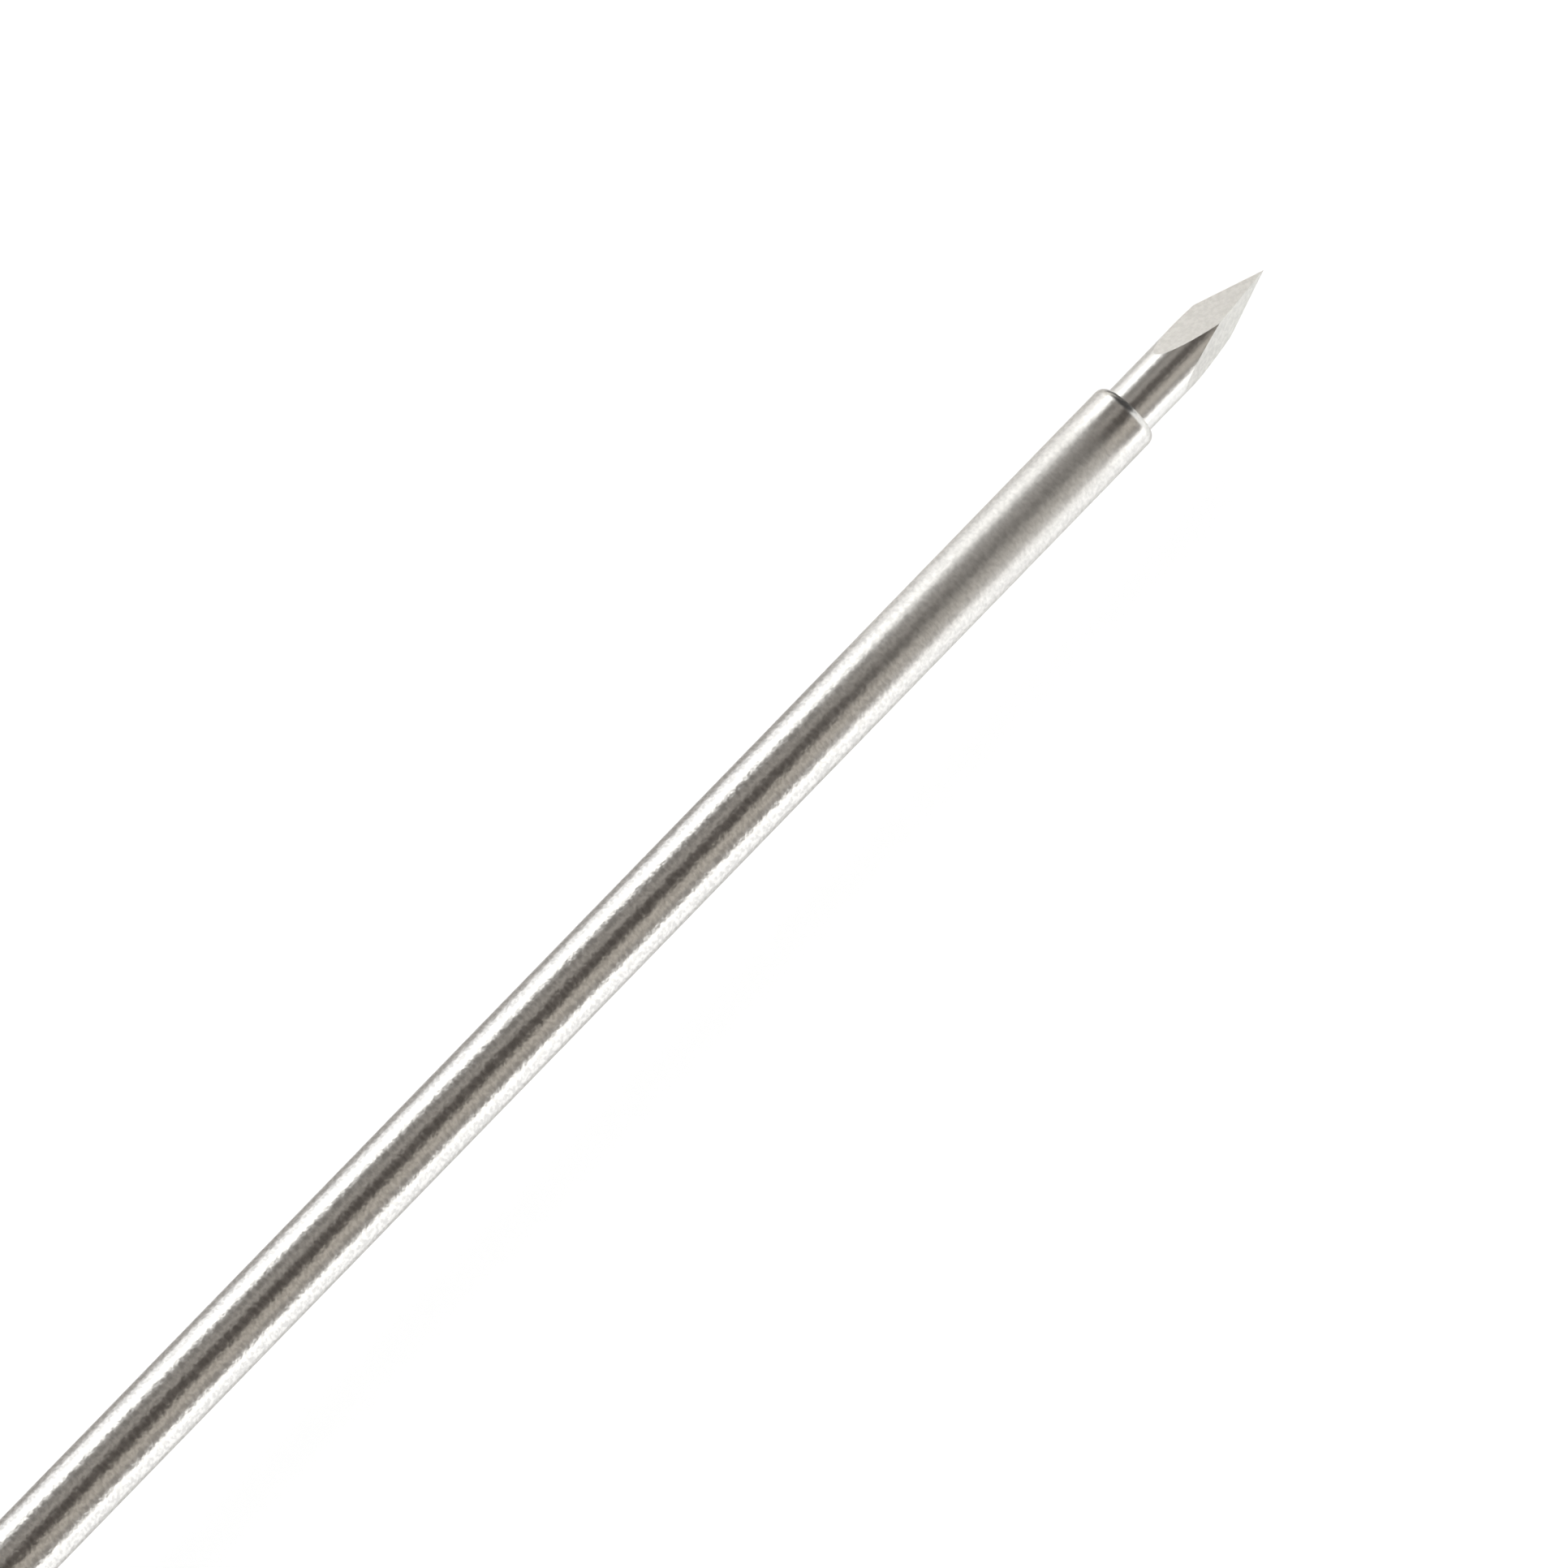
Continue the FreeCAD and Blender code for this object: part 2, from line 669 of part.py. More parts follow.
def depth_stop_body():
    """Sliding stop with a broad face towards the skin, a waist for the fingers and a rear rim."""
    waist_rear_x = stop_rear_x + stop_flange_thickness
    flange_x = stop_front_x - stop_flange_thickness
    solid = turned([
        (stop_rear_x, grommet_r + bond_gap), (stop_rear_x, stop_rear_r - stop_edge),
        (stop_rear_x + stop_edge, stop_rear_r), (waist_rear_x, stop_rear_r),
        (waist_rear_x + stop_rear_r - stop_waist_r, stop_waist_r),
        (flange_x - stop_rear_r + stop_waist_r, stop_waist_r), (flange_x, stop_rear_r),
        (flange_x, stop_flange_r - stop_edge), (flange_x + stop_edge, stop_flange_r),
        (stop_front_x - stop_edge, stop_flange_r), (stop_front_x, stop_flange_r - stop_edge),
        (stop_front_x, grommet_r + bond_gap),
    ])
    seat_x = stop_rear_x + grommet_lip + face_gap
    return solid.cut(rod(stop_rear_x - overshoot, seat_x, grommet_lip_r + bond_gap))


def depth_stop_grommet():
    """Soft bush that grips the cannula, with a lip at the back of the stop."""
    solid = rod(stop_rear_x, stop_front_x, grommet_r).fuse(
        rod(stop_rear_x, stop_rear_x + grommet_lip, grommet_lip_r)
    )
    bore = rod(stop_rear_x - overshoot, stop_front_x + overshoot, tube_r + slip_gap)
    return solid.cut(bore).removeSplitter()


os.makedirs("parts", exist_ok=True)
pieces = {
    "cannula": cannula(),
    "cannula_collar": cannula_collar(),
    "luer_port": luer_port(),
    "port_gasket": port_gasket(),
    "handle_lower_shell": handle_shell(False),
    "handle_upper_shell": handle_shell(True),
    "nose_ring": nose_ring(),
    "left_finger_pad": finger_pad(1),
    "right_finger_pad": finger_pad(-1),
    "stylet": stylet(),
    "stylet_core": stylet_core(),
    "stylet_anvil": stylet_anvil(),
    "stylet_cap": stylet_cap(),
    "cap_front_plate": cap_front_plate(),
    "cap_grip_band": cap_grip_band(),
    "strike_plate": strike_plate(),
    "lock_ring": lock_ring(),
    "lock_ring_grip": lock_ring_grip(),
    "depth_stop_body": depth_stop_body(),
    "depth_stop_grommet": depth_stop_grommet(),
}
for name, shape in pieces.items():
    print(name, "solids", len(shape.Solids), "valid", shape.isValid(), "volume", round(shape.Volume, 2))
    shape.exportStep(f"parts/{name}.step")
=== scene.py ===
"""Looks of a trocar needle: a steel cannula and stylet in a moulded T-handle.

Lengths are in metres. The needle lies along X with its point towards +X, and +Z is up.
The origin is the centre of the cannula's distal rim.
"""

import logging
import math
from collections.abc import Callable, Sequence
from dataclasses import dataclass
from enum import Enum

import bpy
from mathutils import Matrix, Vector


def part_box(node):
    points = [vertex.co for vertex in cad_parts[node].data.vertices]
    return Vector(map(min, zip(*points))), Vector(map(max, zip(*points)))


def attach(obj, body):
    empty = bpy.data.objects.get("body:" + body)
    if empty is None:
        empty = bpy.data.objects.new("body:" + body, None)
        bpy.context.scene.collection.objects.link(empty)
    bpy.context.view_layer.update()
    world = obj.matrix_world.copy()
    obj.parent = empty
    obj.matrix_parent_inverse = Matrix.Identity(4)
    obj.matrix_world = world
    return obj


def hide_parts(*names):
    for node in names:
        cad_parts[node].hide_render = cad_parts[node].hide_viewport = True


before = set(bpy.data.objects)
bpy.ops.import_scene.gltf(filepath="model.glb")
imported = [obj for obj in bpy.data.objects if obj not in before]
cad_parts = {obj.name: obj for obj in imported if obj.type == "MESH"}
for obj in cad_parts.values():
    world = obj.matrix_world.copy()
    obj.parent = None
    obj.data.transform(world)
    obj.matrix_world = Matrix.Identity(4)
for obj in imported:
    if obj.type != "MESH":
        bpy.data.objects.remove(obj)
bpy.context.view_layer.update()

log = logging.getLogger("trocar_needle")

MM = 0.001
NEAR = 1e-6  # Two places nearer than this are one.
SAME = 1e-7  # Vertices nearer than this are merged.
SQUARE = 0.99  # A face whose normal has more than this along an axis lies square to it.
BESIDE = 0.1  # A face whose normal has less than this along an axis runs beside it.
SPARE = 1 * MM  # How far a cutter stands out of what it cuts.
ALONG_X = (0.0, math.pi / 2, 0.0)
NOISE_MIDDLE = 0.5
NOISE_SPAN = (0.3, 0.7)  # Nearly all of a noise's values lie in here.
PATCH_SPAN = (0.35, 0.65)  # Between these, patches run from dark to pale.
Span = tuple[float, float]
Triple = tuple[float, float, float]
Colour = Triple


class Body(Enum):
    """The bodies that pieces ride on."""

    CANNULA = "cannula_unit"
    STYLET = "stylet_unit"
    RING = "lock_ring"
    STOP = "depth_stop"


class Slot(Enum):
    """The record's material slots."""

    CANNULA_STEEL = "cannula_steel"
    STYLET_STEEL = "stylet_steel"
    COLLAR_STEEL = "collar_steel"
    ALUMINIUM = "ring_aluminium"
    HANDLE = "handle_plastic"
    PORT = "port_plastic"
    CAP = "cap_plastic"
    SOFT = "soft_grip"


class Kind(Enum):
    """The kinds of mesh part that can be picked, with the mesh's own names for them."""

    FACE = "polygons"
    EDGE = "edges"
    VERT = "vertices"


class Way(Enum):
    """The ways in which a tool changes a piece."""

    CUT = "DIFFERENCE"
    JOIN = "UNION"


class Graph:
    """A material's node graph, with the few kinds of node that the finishes share."""

    def __init__(self, name: str) -> None:
        """Start a material that holds one principled shader.

        Args:
            name: The material's name.
        """
        self.material = bpy.data.materials.new(name)
        self.material.use_nodes = True
        self.nodes = self.material.node_tree.nodes
        self.links = self.material.node_tree.links
        self.shader = self.nodes["Principled BSDF"]
        self.place = self.nodes.new("ShaderNodeTexCoord").outputs["Object"]

    def put(self, socket: str, value: object) -> None:
        """Set a value on one of the shader's own sockets."""
        self.shader.inputs[socket].default_value = value

    def join(self, source: bpy.types.NodeSocket, socket: str) -> None:
        """Link a source to one of the shader's own sockets."""
        self.links.new(source, self.shader.inputs[socket])

    def noise(self, cell: Triple, detail: float = 2.0, roughness: float = 0.5) -> bpy.types.NodeSocket:
        """Noise on the piece's own coordinates.

        Args:
            cell: A cell's size along each axis.
            detail: Octaves of finer noise.
            roughness: Weight of the finer octaves.

        Returns:
            The noise's value, about 0.5 on average.
        """
        mapping = self.nodes.new("ShaderNodeMapping")
        mapping.inputs["Scale"].default_value = tuple(1 / size for size in cell)
        self.links.new(self.place, mapping.inputs["Vector"])
        texture = self.nodes.new("ShaderNodeTexNoise")
        texture.inputs["Scale"].default_value = 1.0
        texture.inputs["Detail"].default_value = detail
        texture.inputs["Roughness"].default_value = roughness
        self.links.new(mapping.outputs["Vector"], texture.inputs["Vector"])
        return texture.outputs["Fac"]

    def axis(self, index: int) -> bpy.types.NodeSocket:
        """The piece's own coordinate along one axis.

        Args:
            index: 0, 1 or 2 for X, Y or Z.

        Returns:
            The coordinate in metres.
        """
        split = self.nodes.new("ShaderNodeSeparateXYZ")
        self.links.new(self.place, split.inputs["Vector"])
        return split.outputs[index]

    def math(self, kind: str, *values: object) -> bpy.types.NodeSocket:
        """One arithmetic step.

        Args:
            kind: The operation's name.
            values: Sockets or plain numbers.

        Returns:
            The result.
        """
        node = self.nodes.new("ShaderNodeMath")
        node.operation = kind
        for target, value in zip(node.inputs, values):
            if isinstance(value, (int, float)):
                target.default_value = value
            else:
                self.links.new(value, target)
        return node.outputs[0]

    def remap(self, value: bpy.types.NodeSocket, span: Span, to: Span) -> bpy.types.NodeSocket:
        """Map one range of a value smoothly to another.

        Args:
            value: What is mapped.
            span: The range that it comes from.
            to: The range that it goes to.

        Returns:
            The mapped value.
        """
        node = self.nodes.new("ShaderNodeMapRange")
        node.interpolation_type = "SMOOTHSTEP"
        self.links.new(value, node.inputs["Value"])
        for socket, number in zip(("From Min", "From Max", "To Min", "To Max"), (*span, *to)):
            node.inputs[socket].default_value = number
        return node.outputs["Result"]

    def blend(self, share: bpy.types.NodeSocket, first: Colour, second: Colour) -> bpy.types.NodeSocket:
        """Mix two colours.

        Args:
            share: The share of the second colour.
            first: The first colour.
            second: The second colour.

        Returns:
            The mixed colour.
        """
        node = self.nodes.new("ShaderNodeMix")
        node.data_type = "RGBA"
        self.links.new(share, node.inputs["Factor"])
        colours = [socket for socket in node.inputs if socket.type == "RGBA"]
        colours[0].default_value = (*first, 1.0)
        colours[1].default_value = (*second, 1.0)
        return next(socket for socket in node.outputs if socket.type == "RGBA")

    def tint(self, share: bpy.types.NodeSocket, colour: Colour, dark: float, pale: float) -> None:
        """Let the surface run from a darker to a paler shade of one colour."""
        self.join(self.blend(share, shade(colour, dark), shade(colour, pale)), "Base Color")

    def roughen(self, noise: bpy.types.NodeSocket, roughness: float, spread: float) -> None:
        """Let a noise take the roughness to either side of its level."""
        self.join(self.remap(noise, NOISE_SPAN, (roughness - spread, roughness + spread)), "Roughness")

    def bump(self, height: bpy.types.NodeSocket, depth: float) -> None:
        """Raise the surface.

        Args:
            height: The height as a share of the depth.
            depth: The depth in metres.
        """
        node = self.nodes.new("ShaderNodeBump")
        node.inputs["Strength"].default_value = 1.0
        node.inputs["Distance"].default_value = depth
        self.links.new(height, node.inputs["Height"])
        self.links.new(node.outputs["Normal"], self.shader.inputs["Normal"])


def shade(colour: Colour, share: float) -> Colour:
    """A colour made lighter or darker by a share."""
    return tuple(min(1.0, channel * share) for channel in colour)


@dataclass(frozen=True)
class GroundSteel:
    """Centreless ground tube or rod.

    Its fine grain is drawn round it. A softer stretch lies behind its end, where the grain is calmer.
    """

    name: str
    colour: Colour = (0.86, 0.85, 0.83)
    roughness: float = 0.276
    soft_roughness: float = 0.455
    end_roughness: float = 0.276
    soft_from: float = -23.5 * MM
    soft_to: float = -7 * MM
    end_from: float = -3.2 * MM
    end_to: float = -0.6 * MM
    grain_length: float = 0.16 * MM
    grain_width: float = 0.24 * MM
    grain_depth: float = 0.017 * MM
    grain_tone: float = 0.155
    grain_spread: float = 0.02
    soft_grain: float = 0.45

    def material(self) -> bpy.types.Material:
        """Build the finish.

        Returns:
            The material.
        """
        graph = Graph(self.name)
        graph.put("Metallic", 1.0)
        x = graph.axis(0)
        calm = graph.remap(x, (self.soft_from, self.soft_to), (1.0, self.soft_grain))
        cells = graph.noise((self.grain_length, self.grain_width, self.grain_width), detail=1.0)
        grain = graph.math("MULTIPLY_ADD", graph.math("SUBTRACT", cells, NOISE_MIDDLE), calm, NOISE_MIDDLE)
        rise = graph.remap(x, (self.soft_from, self.soft_to), (self.roughness, self.soft_roughness))
        fall = graph.remap(x, (self.end_from, self.end_to), (0.0, self.soft_roughness - self.end_roughness))
        spread = graph.remap(grain, NOISE_SPAN, (0.0, self.grain_spread))
        graph.join(graph.math("ADD", graph.math("SUBTRACT", rise, fall), spread), "Roughness")
        patches = graph.remap(grain, PATCH_SPAN, (0.0, 1.0))
        graph.tint(patches, self.colour, 1 - self.grain_tone, 1 + self.grain_tone / 2)
        graph.bump(grain, self.grain_depth)
        return graph.material


@dataclass(frozen=True)
class FacetSteel:
    """Facet ground on a wheel: satin, with fine lines and a mottle."""

    name: str
    colour: Colour = (0.83, 0.82, 0.80)
    roughness: float = 0.40
    line_pitch: float = 0.06 * MM
    line_width: float = 0.055 * MM
    line_depth: float = 0.003 * MM
    mottle: float = 0.22 * MM
    spread: float = 0.06
    dark: float = 0.91
    pale: float = 1.06

    def material(self) -> bpy.types.Material:
        """Build the finish.

        Returns:
            The material.
        """
        graph = Graph(self.name)
        graph.put("Metallic", 1.0)
        lines = graph.noise((self.line_pitch, self.line_width, self.line_width))
        mottle = graph.noise((self.mottle,) * 3, detail=3.0, roughness=0.6)
        graph.roughen(mottle, self.roughness, self.spread)
        graph.tint(graph.remap(mottle, PATCH_SPAN, (0.0, 1.0)), self.colour, self.dark, self.pale)
        graph.bump(lines, self.line_depth)
        return graph.material


@dataclass(frozen=True)
class TurnedMetal:
    """Metal turned on a lathe: regular tool rings about the needle's axis."""

    name: str
    colour: Colour
    roughness: float = 0.32
    ring_pitch: float = 0.12 * MM
    ring_depth: float = 0.002 * MM
    cloud_size: float = 2 * MM
    spread: float = 0.04
    dark: float = 0.95
    pale: float = 1.03

    def material(self) -> bpy.types.Material:
        """Build the finish.

        Returns:
            The material.
        """
        graph = Graph(self.name)
        graph.put("Metallic", 1.0)
        radius = graph.math("SQRT", graph.math(
            "ADD", graph.math("POWER", graph.axis(1), 2.0), graph.math("POWER", graph.axis(2), 2.0)))
        reach = graph.math("ADD", graph.axis(0), radius)
        rings = graph.math("SINE", graph.math("MULTIPLY", reach, 2 * math.pi / self.ring_pitch))
        cloud = graph.noise((self.cloud_size,) * 3)
        graph.roughen(cloud, self.roughness, self.spread)
        graph.tint(cloud, self.colour, self.dark, self.pale)
        graph.bump(rings, self.ring_depth)
        return graph.material


@dataclass(frozen=True)
class Moulded:
    """Moulded plastic with a spark-eroded grain, and some light in it where it is milky."""

    name: str
    colour: Colour
    roughness: float = 0.42
    grain_pitch: float = 0.22 * MM
    grain_depth: float = 0.012 * MM
    milkiness: float = 0.0
    milk_depth: float = 1.0 * MM
    milk_reach: Colour = (1.2, 1.2, 1.1)
    refraction: float = 1.5
    cloud_size: float = 9 * MM
    spread: float = 0.07
    dark: float = 0.96
    pale: float = 1.03

    def material(self) -> bpy.types.Material:
        """Build the finish.

        Returns:
            The material.
        """
        graph = Graph(self.name)
        graph.put("IOR", self.refraction)
        if self.milkiness:
            graph.put("Subsurface Weight", self.milkiness)
            graph.put("Subsurface Radius", self.milk_reach)
            graph.put("Subsurface Scale", self.milk_depth)
        grain = graph.noise((self.grain_pitch,) * 3, detail=3.0, roughness=0.6)
        graph.roughen(grain, self.roughness, self.spread)
        graph.tint(graph.noise((self.cloud_size,) * 3), self.colour, self.dark, self.pale)
        graph.bump(grain, self.grain_depth)
        return graph.material


@dataclass(frozen=True)
class SoftGrip:
    """Soft moulded rubber, matt and slightly dusty."""

    name: str
    colour: Colour = (0.055, 0.062, 0.068)
    roughness: float = 0.62
    grain_pitch: float = 0.16 * MM
    grain_depth: float = 0.01 * MM
    dust: float = 0.15
    dust_roughness: float = 0.5
    cloud_size: float = 5 * MM
    spread: float = 0.08
    dark: float = 0.85
    pale: float = 1.2

    def material(self) -> bpy.types.Material:
        """Build the finish.

        Returns:
            The material.
        """
        graph = Graph(self.name)
        graph.put("Sheen Weight", self.dust)
        graph.put("Sheen Roughness", self.dust_roughness)
        grain = graph.noise((self.grain_pitch,) * 3, detail=3.0, roughness=0.6)
        graph.roughen(grain, self.roughness, self.spread)
        graph.tint(graph.noise((self.cloud_size,) * 3, detail=3.0), self.colour, self.dark, self.pale)
        graph.bump(grain, self.grain_depth)
        return graph.material


# The finish of each slot, and below it two that only the facets and the strike disc have.
FINISHES = {
    Slot.CANNULA_STEEL: GroundSteel("ground_tube"),
    Slot.STYLET_STEEL: GroundSteel(
        "polished_rod", colour=(0.87, 0.865, 0.85), roughness=0.28, soft_roughness=0.31, end_roughness=0.30,
        grain_depth=0.009 * MM, grain_tone=0.05, soft_grain=1.0),
    Slot.COLLAR_STEEL: TurnedMetal("turned_steel", (0.62, 0.61, 0.59)),
    Slot.ALUMINIUM: TurnedMetal("satin_aluminium", (0.78, 0.78, 0.78), roughness=0.36),
    Slot.HANDLE: Moulded("grained_light_grey", (0.70, 0.72, 0.74)),
    Slot.PORT: Moulded(
        "smooth_milky", (0.86, 0.88, 0.88), roughness=0.22, grain_depth=0.002 * MM, milkiness=0.3),
    Slot.CAP: Moulded("grained_yellow_green", (0.56, 0.68, 0.07)),
    Slot.SOFT: SoftGrip("soft_dark_grey"),
}
FACET_FINISH = FacetSteel("ground_facet")
FACED_FINISH = TurnedMetal("faced_steel", (0.80, 0.795, 0.78), roughness=0.34, ring_pitch=0.25 * MM)


def finish_of(slot: Slot) -> bpy.types.Material:
    """The material of a slot, built the first time that it is asked for."""
    finish = FINISHES[slot]
    return bpy.data.materials.get(finish.name) or finish.material()


def deselect() -> None:
    """Leave object mode with nothing selected."""
    if bpy.context.object and bpy.context.object.mode != "OBJECT":
        bpy.ops.object.mode_set(mode="OBJECT")
    bpy.ops.object.select_all(action="DESELECT")


def pick(
    piece: bpy.types.Object, wanted: Callable[[bpy.types.bpy_struct], bool], kind: Kind = Kind.FACE
) -> None:
    """Select some faces, edges or vertices of a piece in edit mode.

    Args:
        piece: The piece, which is left in edit mode.
        wanted: Says whether a face, edge or vertex is selected.
        kind: What is picked.
    """
    bpy.ops.object.mode_set(mode="EDIT")
    bpy.ops.mesh.select_mode(type=kind.name)
    bpy.ops.mesh.select_all(action="DESELECT")
    bpy.ops.object.mode_set(mode="OBJECT")
    for part in getattr(piece.data, kind.value):
        part.select = wanted(part)
    bpy.ops.object.mode_set(mode="EDIT")


def edge_points(piece: bpy.types.Object, edge: bpy.types.MeshEdge) -> tuple[Vector, Vector]:
    """The two ends of an edge."""
    first, second = edge.vertices
    return piece.data.vertices[first].co, piece.data.vertices[second].co


def radius_of(point: Vector) -> float:
    """Distance of a point from the needle's axis."""
    return math.hypot(point.y, point.z)


def oval_radius(point: Vector, corner: Vector) -> float:
    """Distance of a point from the middle line of an oval bar, which is the same all over its outside.

    Args:
        point: The point.
        corner: The bar's highest corner.

    Returns:
        The distance across the axis.
    """
    straight = min(abs(point.y), corner.y - corner.z)
    return math.hypot(abs(point.y) - straight, point.z)


def pick_ring(
    piece: bpy.types.Object, x: float, wanted: Callable[[Vector], bool] = lambda point: True
) -> None:
    """Select a piece's edges that lie in one plane across the axis.

    Args:
        piece: The piece, which is left in edit mode.
        x: Where the plane is.
        wanted: Says whether an edge may have a point.
    """
    pick(piece, lambda edge: all(
        abs(point.x - x) < NEAR and wanted(point) for point in edge_points(piece, edge)), Kind.EDGE)


def settle(piece: bpy.types.Object, name: str, angle: float = 35.0) -> bpy.types.Object:
    """Put a modelled piece's place in its mesh, point its faces outwards and smooth it by angle.

    Args:
        piece: The piece.
        name: The name that it gets.
        angle: Edges sharper than this many degrees stay crisp.

    Returns:
        The same piece.
    """
    deselect()
    bpy.context.view_layer.objects.active = piece
    piece.select_set(True)
    bpy.ops.object.transform_apply(location=True, rotation=True, scale=True)
    bpy.ops.object.mode_set(mode="EDIT")
    bpy.ops.mesh.select_all(action="SELECT")
    bpy.ops.mesh.remove_doubles(threshold=SAME)
    bpy.ops.mesh.normals_make_consistent(inside=False)
    bpy.ops.object.mode_set(mode="OBJECT")
    bpy.ops.object.shade_smooth_by_angle(angle=math.radians(angle))
    piece.name = name
    piece.data.name = name
    return piece


def dress(piece: bpy.types.Object, body: Body, slot: Slot, node: str) -> None:
    """Give a piece its finish and the body that it rides on, and hide the node that it stands for.

    Args:
        piece: The piece, which keeps a finish that it has already.
        body: The body that it rides on.
        slot: Its material slot.
        node: The node that it stands for.
    """
    if not piece.data.materials:
        piece.data.materials.append(finish_of(slot))
    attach(piece, body.value)
    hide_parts(node)
    log.info("%s: %d faces, rides on %s", piece.name, len(piece.data.polygons), body.value)


def smoothed_copy(node: str, body: Body, slot: Slot, angle: float = 30.0) -> bpy.types.Object:
    """A node's own shape, merged and smoothed, in its finish.

    Args:
        node: The node's name.
        body: The body that it rides on.
        slot: Its material slot.
        angle: Edges sharper than this many degrees stay crisp.

    Returns:
        The piece that stands for the node.
    """
    deselect()
    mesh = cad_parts[node].data.copy()
    mesh.materials.clear()
    piece = bpy.data.objects.new(f"{node}_skin", mesh)
    bpy.context.scene.collection.objects.link(piece)
    bpy.context.view_layer.objects.active = piece
    piece.select_set(True)
    bpy.ops.object.mode_set(mode="EDIT")
    bpy.ops.mesh.select_all(action="SELECT")
    bpy.ops.mesh.remove_doubles(threshold=SAME)
    bpy.ops.object.mode_set(mode="OBJECT")
    bpy.ops.object.shade_smooth_by_angle(angle=math.radians(angle))
    dress(piece, body, slot, node)
    return piece


def round_bar(x0: float, x1: float, radius: float, sides: int = 160) -> bpy.types.Object:
    """Add a closed cylinder along the needle's axis, in place, and leave it in object mode.

    Args:
        x0: Its rear end.
        x1: Its front end.
        radius: Its radius.
        sides: How many sides it has.

    Returns:
        The new object, with its place in its mesh.
    """
    deselect()
    bpy.ops.mesh.primitive_cylinder_add(
        vertices=sides, radius=radius, depth=x1 - x0, end_fill_type="NGON",
        location=((x0 + x1) / 2, 0, 0), rotation=ALONG_X)
    piece = bpy.context.object
    bpy.ops.object.transform_apply(location=True, rotation=True, scale=True)
    return piece


def oval_bar(x0: float, x1: float, width: float, height: float, sides: int = 98) -> bpy.types.Object:
    """Add a closed bar whose section is two half rounds joined by flats, above and below.

    Args:
        x0: Its rear end.
        x1: Its front end.
        width: Its size along Y.
        height: Its size along Z.
        sides: How many sides it has. It isn't a multiple of four, so that a side lies flat on top.

    Returns:
        The new object, in object mode.
    """
    piece = round_bar(x0, x1, height / 2, sides)
    for side in (1, -1):
        pick(piece, lambda v: v.co.y * side > NEAR, Kind.VERT)
        bpy.ops.transform.translate(value=(0, side * (width - height) / 2, 0))
    bpy.ops.object.mode_set(mode="OBJECT")
    return piece


def round_rim(piece: bpy.types.Object, x: float, reach: float, steps: int = 3) -> None:
    """Round every edge of a piece that lies in one plane across the axis.

    Args:
        piece: The piece, which is left in edit mode.
        x: Where the plane is.
        reach: How far the rounding reaches from the edge.
        steps: How many strips it has.
    """
    pick_ring(piece, x)
    bpy.ops.mesh.bevel(offset=reach, segments=steps, affect="EDGES")


def cut_across(piece: bpy.types.Object, *places: float) -> None:
    """Score a piece with rings of edges across the axis.

    Args:
        piece: The piece, which is left in edit mode.
        places: Where the rings lie.
    """
    deselect()
    bpy.context.view_layer.objects.active = piece
    bpy.ops.object.mode_set(mode="EDIT")
    for x in places:
        bpy.ops.mesh.select_all(action="SELECT")
        bpy.ops.mesh.bisect(plane_co=(x, 0, 0), plane_no=(1, 0, 0), threshold=SAME)


def open_end(piece: bpy.types.Object, x: float, radius: float, sides: int) -> None:
    """Turn the flat face at one end of a piece into a ring with a round hole.

    Args:
        piece: The piece, which is left in edit mode.
        x: Where the face is.
        radius: The hole's radius.
        sides: How many sides the hole has.
    """
    pick(piece, lambda face: abs(face.center.x - x) < NEAR and abs(face.normal.x) > SQUARE)
    bpy.ops.mesh.delete(type="ONLY_FACE")
    bpy.ops.mesh.primitive_circle_add(
        vertices=sides, radius=radius, fill_type="NOTHING", location=(x, 0, 0), rotation=ALONG_X)
    pick_ring(piece, x)
    bpy.ops.mesh.bridge_edge_loops()


def hollow(piece: bpy.types.Object, wall: float) -> None:
    """Turn a closed straight bar into a tube with walls of one thickness.

    Args:
        piece: The bar, which is left in edit mode.
        wall: The wall's thickness.
    """
    pick(piece, lambda face: abs(face.normal.x) > SQUARE)
    bpy.ops.mesh.inset(thickness=wall)
    bpy.ops.mesh.delete(type="FACE")
    bpy.ops.mesh.select_mode(type="EDGE")
    bpy.ops.mesh.select_non_manifold()
    bpy.ops.mesh.bridge_edge_loops()


def combine(piece: bpy.types.Object, tool: bpy.types.Object, way: Way) -> None:
    """Cut a tool out of a piece or join it on.

    Args:
        piece: The piece.
        tool: The tool, which is used up.
        way: Whether it cuts or joins.
    """
    deselect()
    bpy.context.view_layer.objects.active = piece
    piece.select_set(True)
    modifier = piece.modifiers.new("combine", "BOOLEAN")
    modifier.operation = way.value
    modifier.object = tool
    bpy.ops.object.modifier_apply(modifier=modifier.name)
    bpy.data.objects.remove(tool)


@dataclass(frozen=True)
class Corner:
    """A corner of a turned outline: its place along the axis, its radius and its rounding's reach."""

    x: float
    r: float
    rounding: float = 0.0


